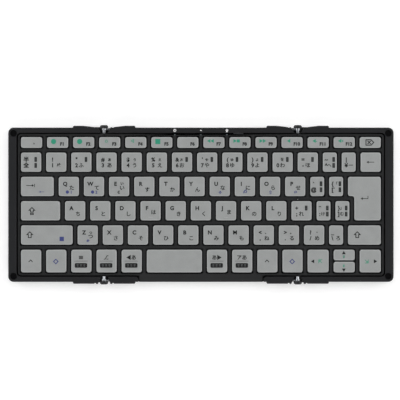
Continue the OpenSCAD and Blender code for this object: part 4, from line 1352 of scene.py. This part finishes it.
class KEYBOARD_OT_stage(Operator):
    """Adds the floor, the lights and a camera that looks straight down"""
    bl_idname = "keyboard.stage"
    bl_label = "Stage"

    def execute(self, context):
        self.add_floor()
        self.add_world()
        for name, place, power in (("left", (-1.05, 0.25, 0.8), 7.5), ("right", (1.05, 0.25, 0.8), 8),
                                   ("rear", (0, 1.1, 0.85), 6), ("front", (0, -1.1, 0.85), 8)):
            self.add_light(name, Vector(place), power)
        self.add_camera()
        scene = bpy.context.scene
        scene.view_settings.view_transform = "Standard"
        return {"FINISHED"}

    def add_floor(self):
        bpy.ops.object.select_all(action="DESELECT")
        bpy.ops.mesh.primitive_plane_add(size=40, location=(0, 0, 0))
        floor = bpy.context.object
        floor.name = "floor"
        material, tree, shader, place = new_material("white_table")
        tree.nodes.remove(shader)
        rays = add(tree, "ShaderNodeLightPath")
        seen = add(tree, "ShaderNodeMath", {"operation": "MAXIMUM"})
        tree.links.new(rays.outputs["Is Camera Ray"], seen.inputs[0])
        mirrored = add(tree, "ShaderNodeMath", {"operation": "MAXIMUM"})
        tree.links.new(rays.outputs["Is Glossy Ray"], mirrored.inputs[0])
        tree.links.new(rays.outputs["Is Transmission Ray"], mirrored.inputs[1])
        tree.links.new(mirrored.outputs[0], seen.inputs[1])
        tone = level(tree, (seen, 0), 0.9, 0.66)
        lift = level(tree, (seen, 0), 0, 0.42)
        paper = add(tree, "ShaderNodeBsdfDiffuse", None, {"Color": (tone, "Result")})
        glow = add(tree, "ShaderNodeEmission", None,
                   {"Color": (1, 1, 1, 1), "Strength": (lift, "Result")})
        both = add(tree, "ShaderNodeAddShader")
        tree.links.new(paper.outputs[0], both.inputs[0])
        tree.links.new(glow.outputs[0], both.inputs[1])
        tree.links.new(both.outputs[0], tree.nodes["Material Output"].inputs["Surface"])
        floor.data.materials.append(material)

    def add_world(self):
        world = bpy.data.worlds.new("studio")
        bpy.context.scene.world = world
        world.use_nodes = True
        tree = world.node_tree
        back = tree.nodes["Background"]
        direction = add(tree, "ShaderNodeTexCoord")
        parts = add(tree, "ShaderNodeSeparateXYZ", None, {"Vector": (direction, "Generated")})
        fade = add(tree, "ShaderNodeMapRange", None,
                   {"Value": (parts, "Z"), "From Min": 0.12, "From Max": 0.6, "To Min": 0.95,
                    "To Max": 0.1})
        tree.links.new(fade.outputs["Result"], back.inputs["Strength"])
        back.inputs["Color"].default_value = (1, 1, 1, 1)

    def add_light(self, name, place, power):
        """A square soft light that points at the middle of the keyboard."""
        light = bpy.data.lights.new(name, "AREA")
        light.shape = "SQUARE"
        light.size = 0.7
        light.energy = power
        lamp = bpy.data.objects.new(name, light)
        lamp.location = place
        lamp.rotation_euler = place.to_track_quat("Z", "Y").to_euler()
        bpy.context.scene.collection.objects.link(lamp)

    def add_camera(self):
        pixel = 0.757*MM
        distance = 1.5
        camera = bpy.data.cameras.new("straight_down")
        camera.sensor_width = 36
        camera.lens = 36*distance/(400*pixel)
        camera.clip_end = 100
        eye = bpy.data.objects.new("straight_down", camera)
        eye.location = (-0.9*pixel, 4.75*pixel, CAP_TOP + distance)
        bpy.context.scene.collection.objects.link(eye)
        bpy.context.scene.camera = eye


STEPS = (KEYBOARD_OT_key_caps, KEYBOARD_OT_enter_key, KEYBOARD_OT_legends, KEYBOARD_OT_rims,
         KEYBOARD_OT_covers, KEYBOARD_OT_decks, KEYBOARD_OT_feet, KEYBOARD_OT_hinges,
         KEYBOARD_OT_magnets, KEYBOARD_OT_screws, KEYBOARD_OT_domes, KEYBOARD_OT_scissors,
         KEYBOARD_OT_ribbons, KEYBOARD_OT_inner_parts, KEYBOARD_OT_rail_marks, KEYBOARD_OT_stage)


class KEYBOARD_PT_sidebar(Panel):
    bl_label = "Keyboard"
    bl_space_type = "VIEW_3D"
    bl_region_type = "UI"
    bl_category = "Keyboard"

    def draw(self, context):
        for group in (context.scene.keyboard_sizes, context.scene.keyboard_colours):
            for name in group.__annotations__:
                self.layout.prop(group, name)
        for step in STEPS:
            self.layout.operator(step.bl_idname)


CLASSES = (KeyboardSizes, KeyboardColours, *STEPS, KEYBOARD_PT_sidebar)


def register():
    for each in CLASSES:
        bpy.utils.register_class(each)
    bpy.types.Scene.keyboard_sizes = PointerProperty(type=KeyboardSizes)
    bpy.types.Scene.keyboard_colours = PointerProperty(type=KeyboardColours)


def unregister():
    del bpy.types.Scene.keyboard_colours
    del bpy.types.Scene.keyboard_sizes
    for each in reversed(CLASSES):
        bpy.utils.unregister_class(each)


def main():
    register()
    for step in STEPS:
        group, name = step.bl_idname.split(".")
        getattr(getattr(bpy.ops, group), name)()


if __name__ == "__main__":
    main()
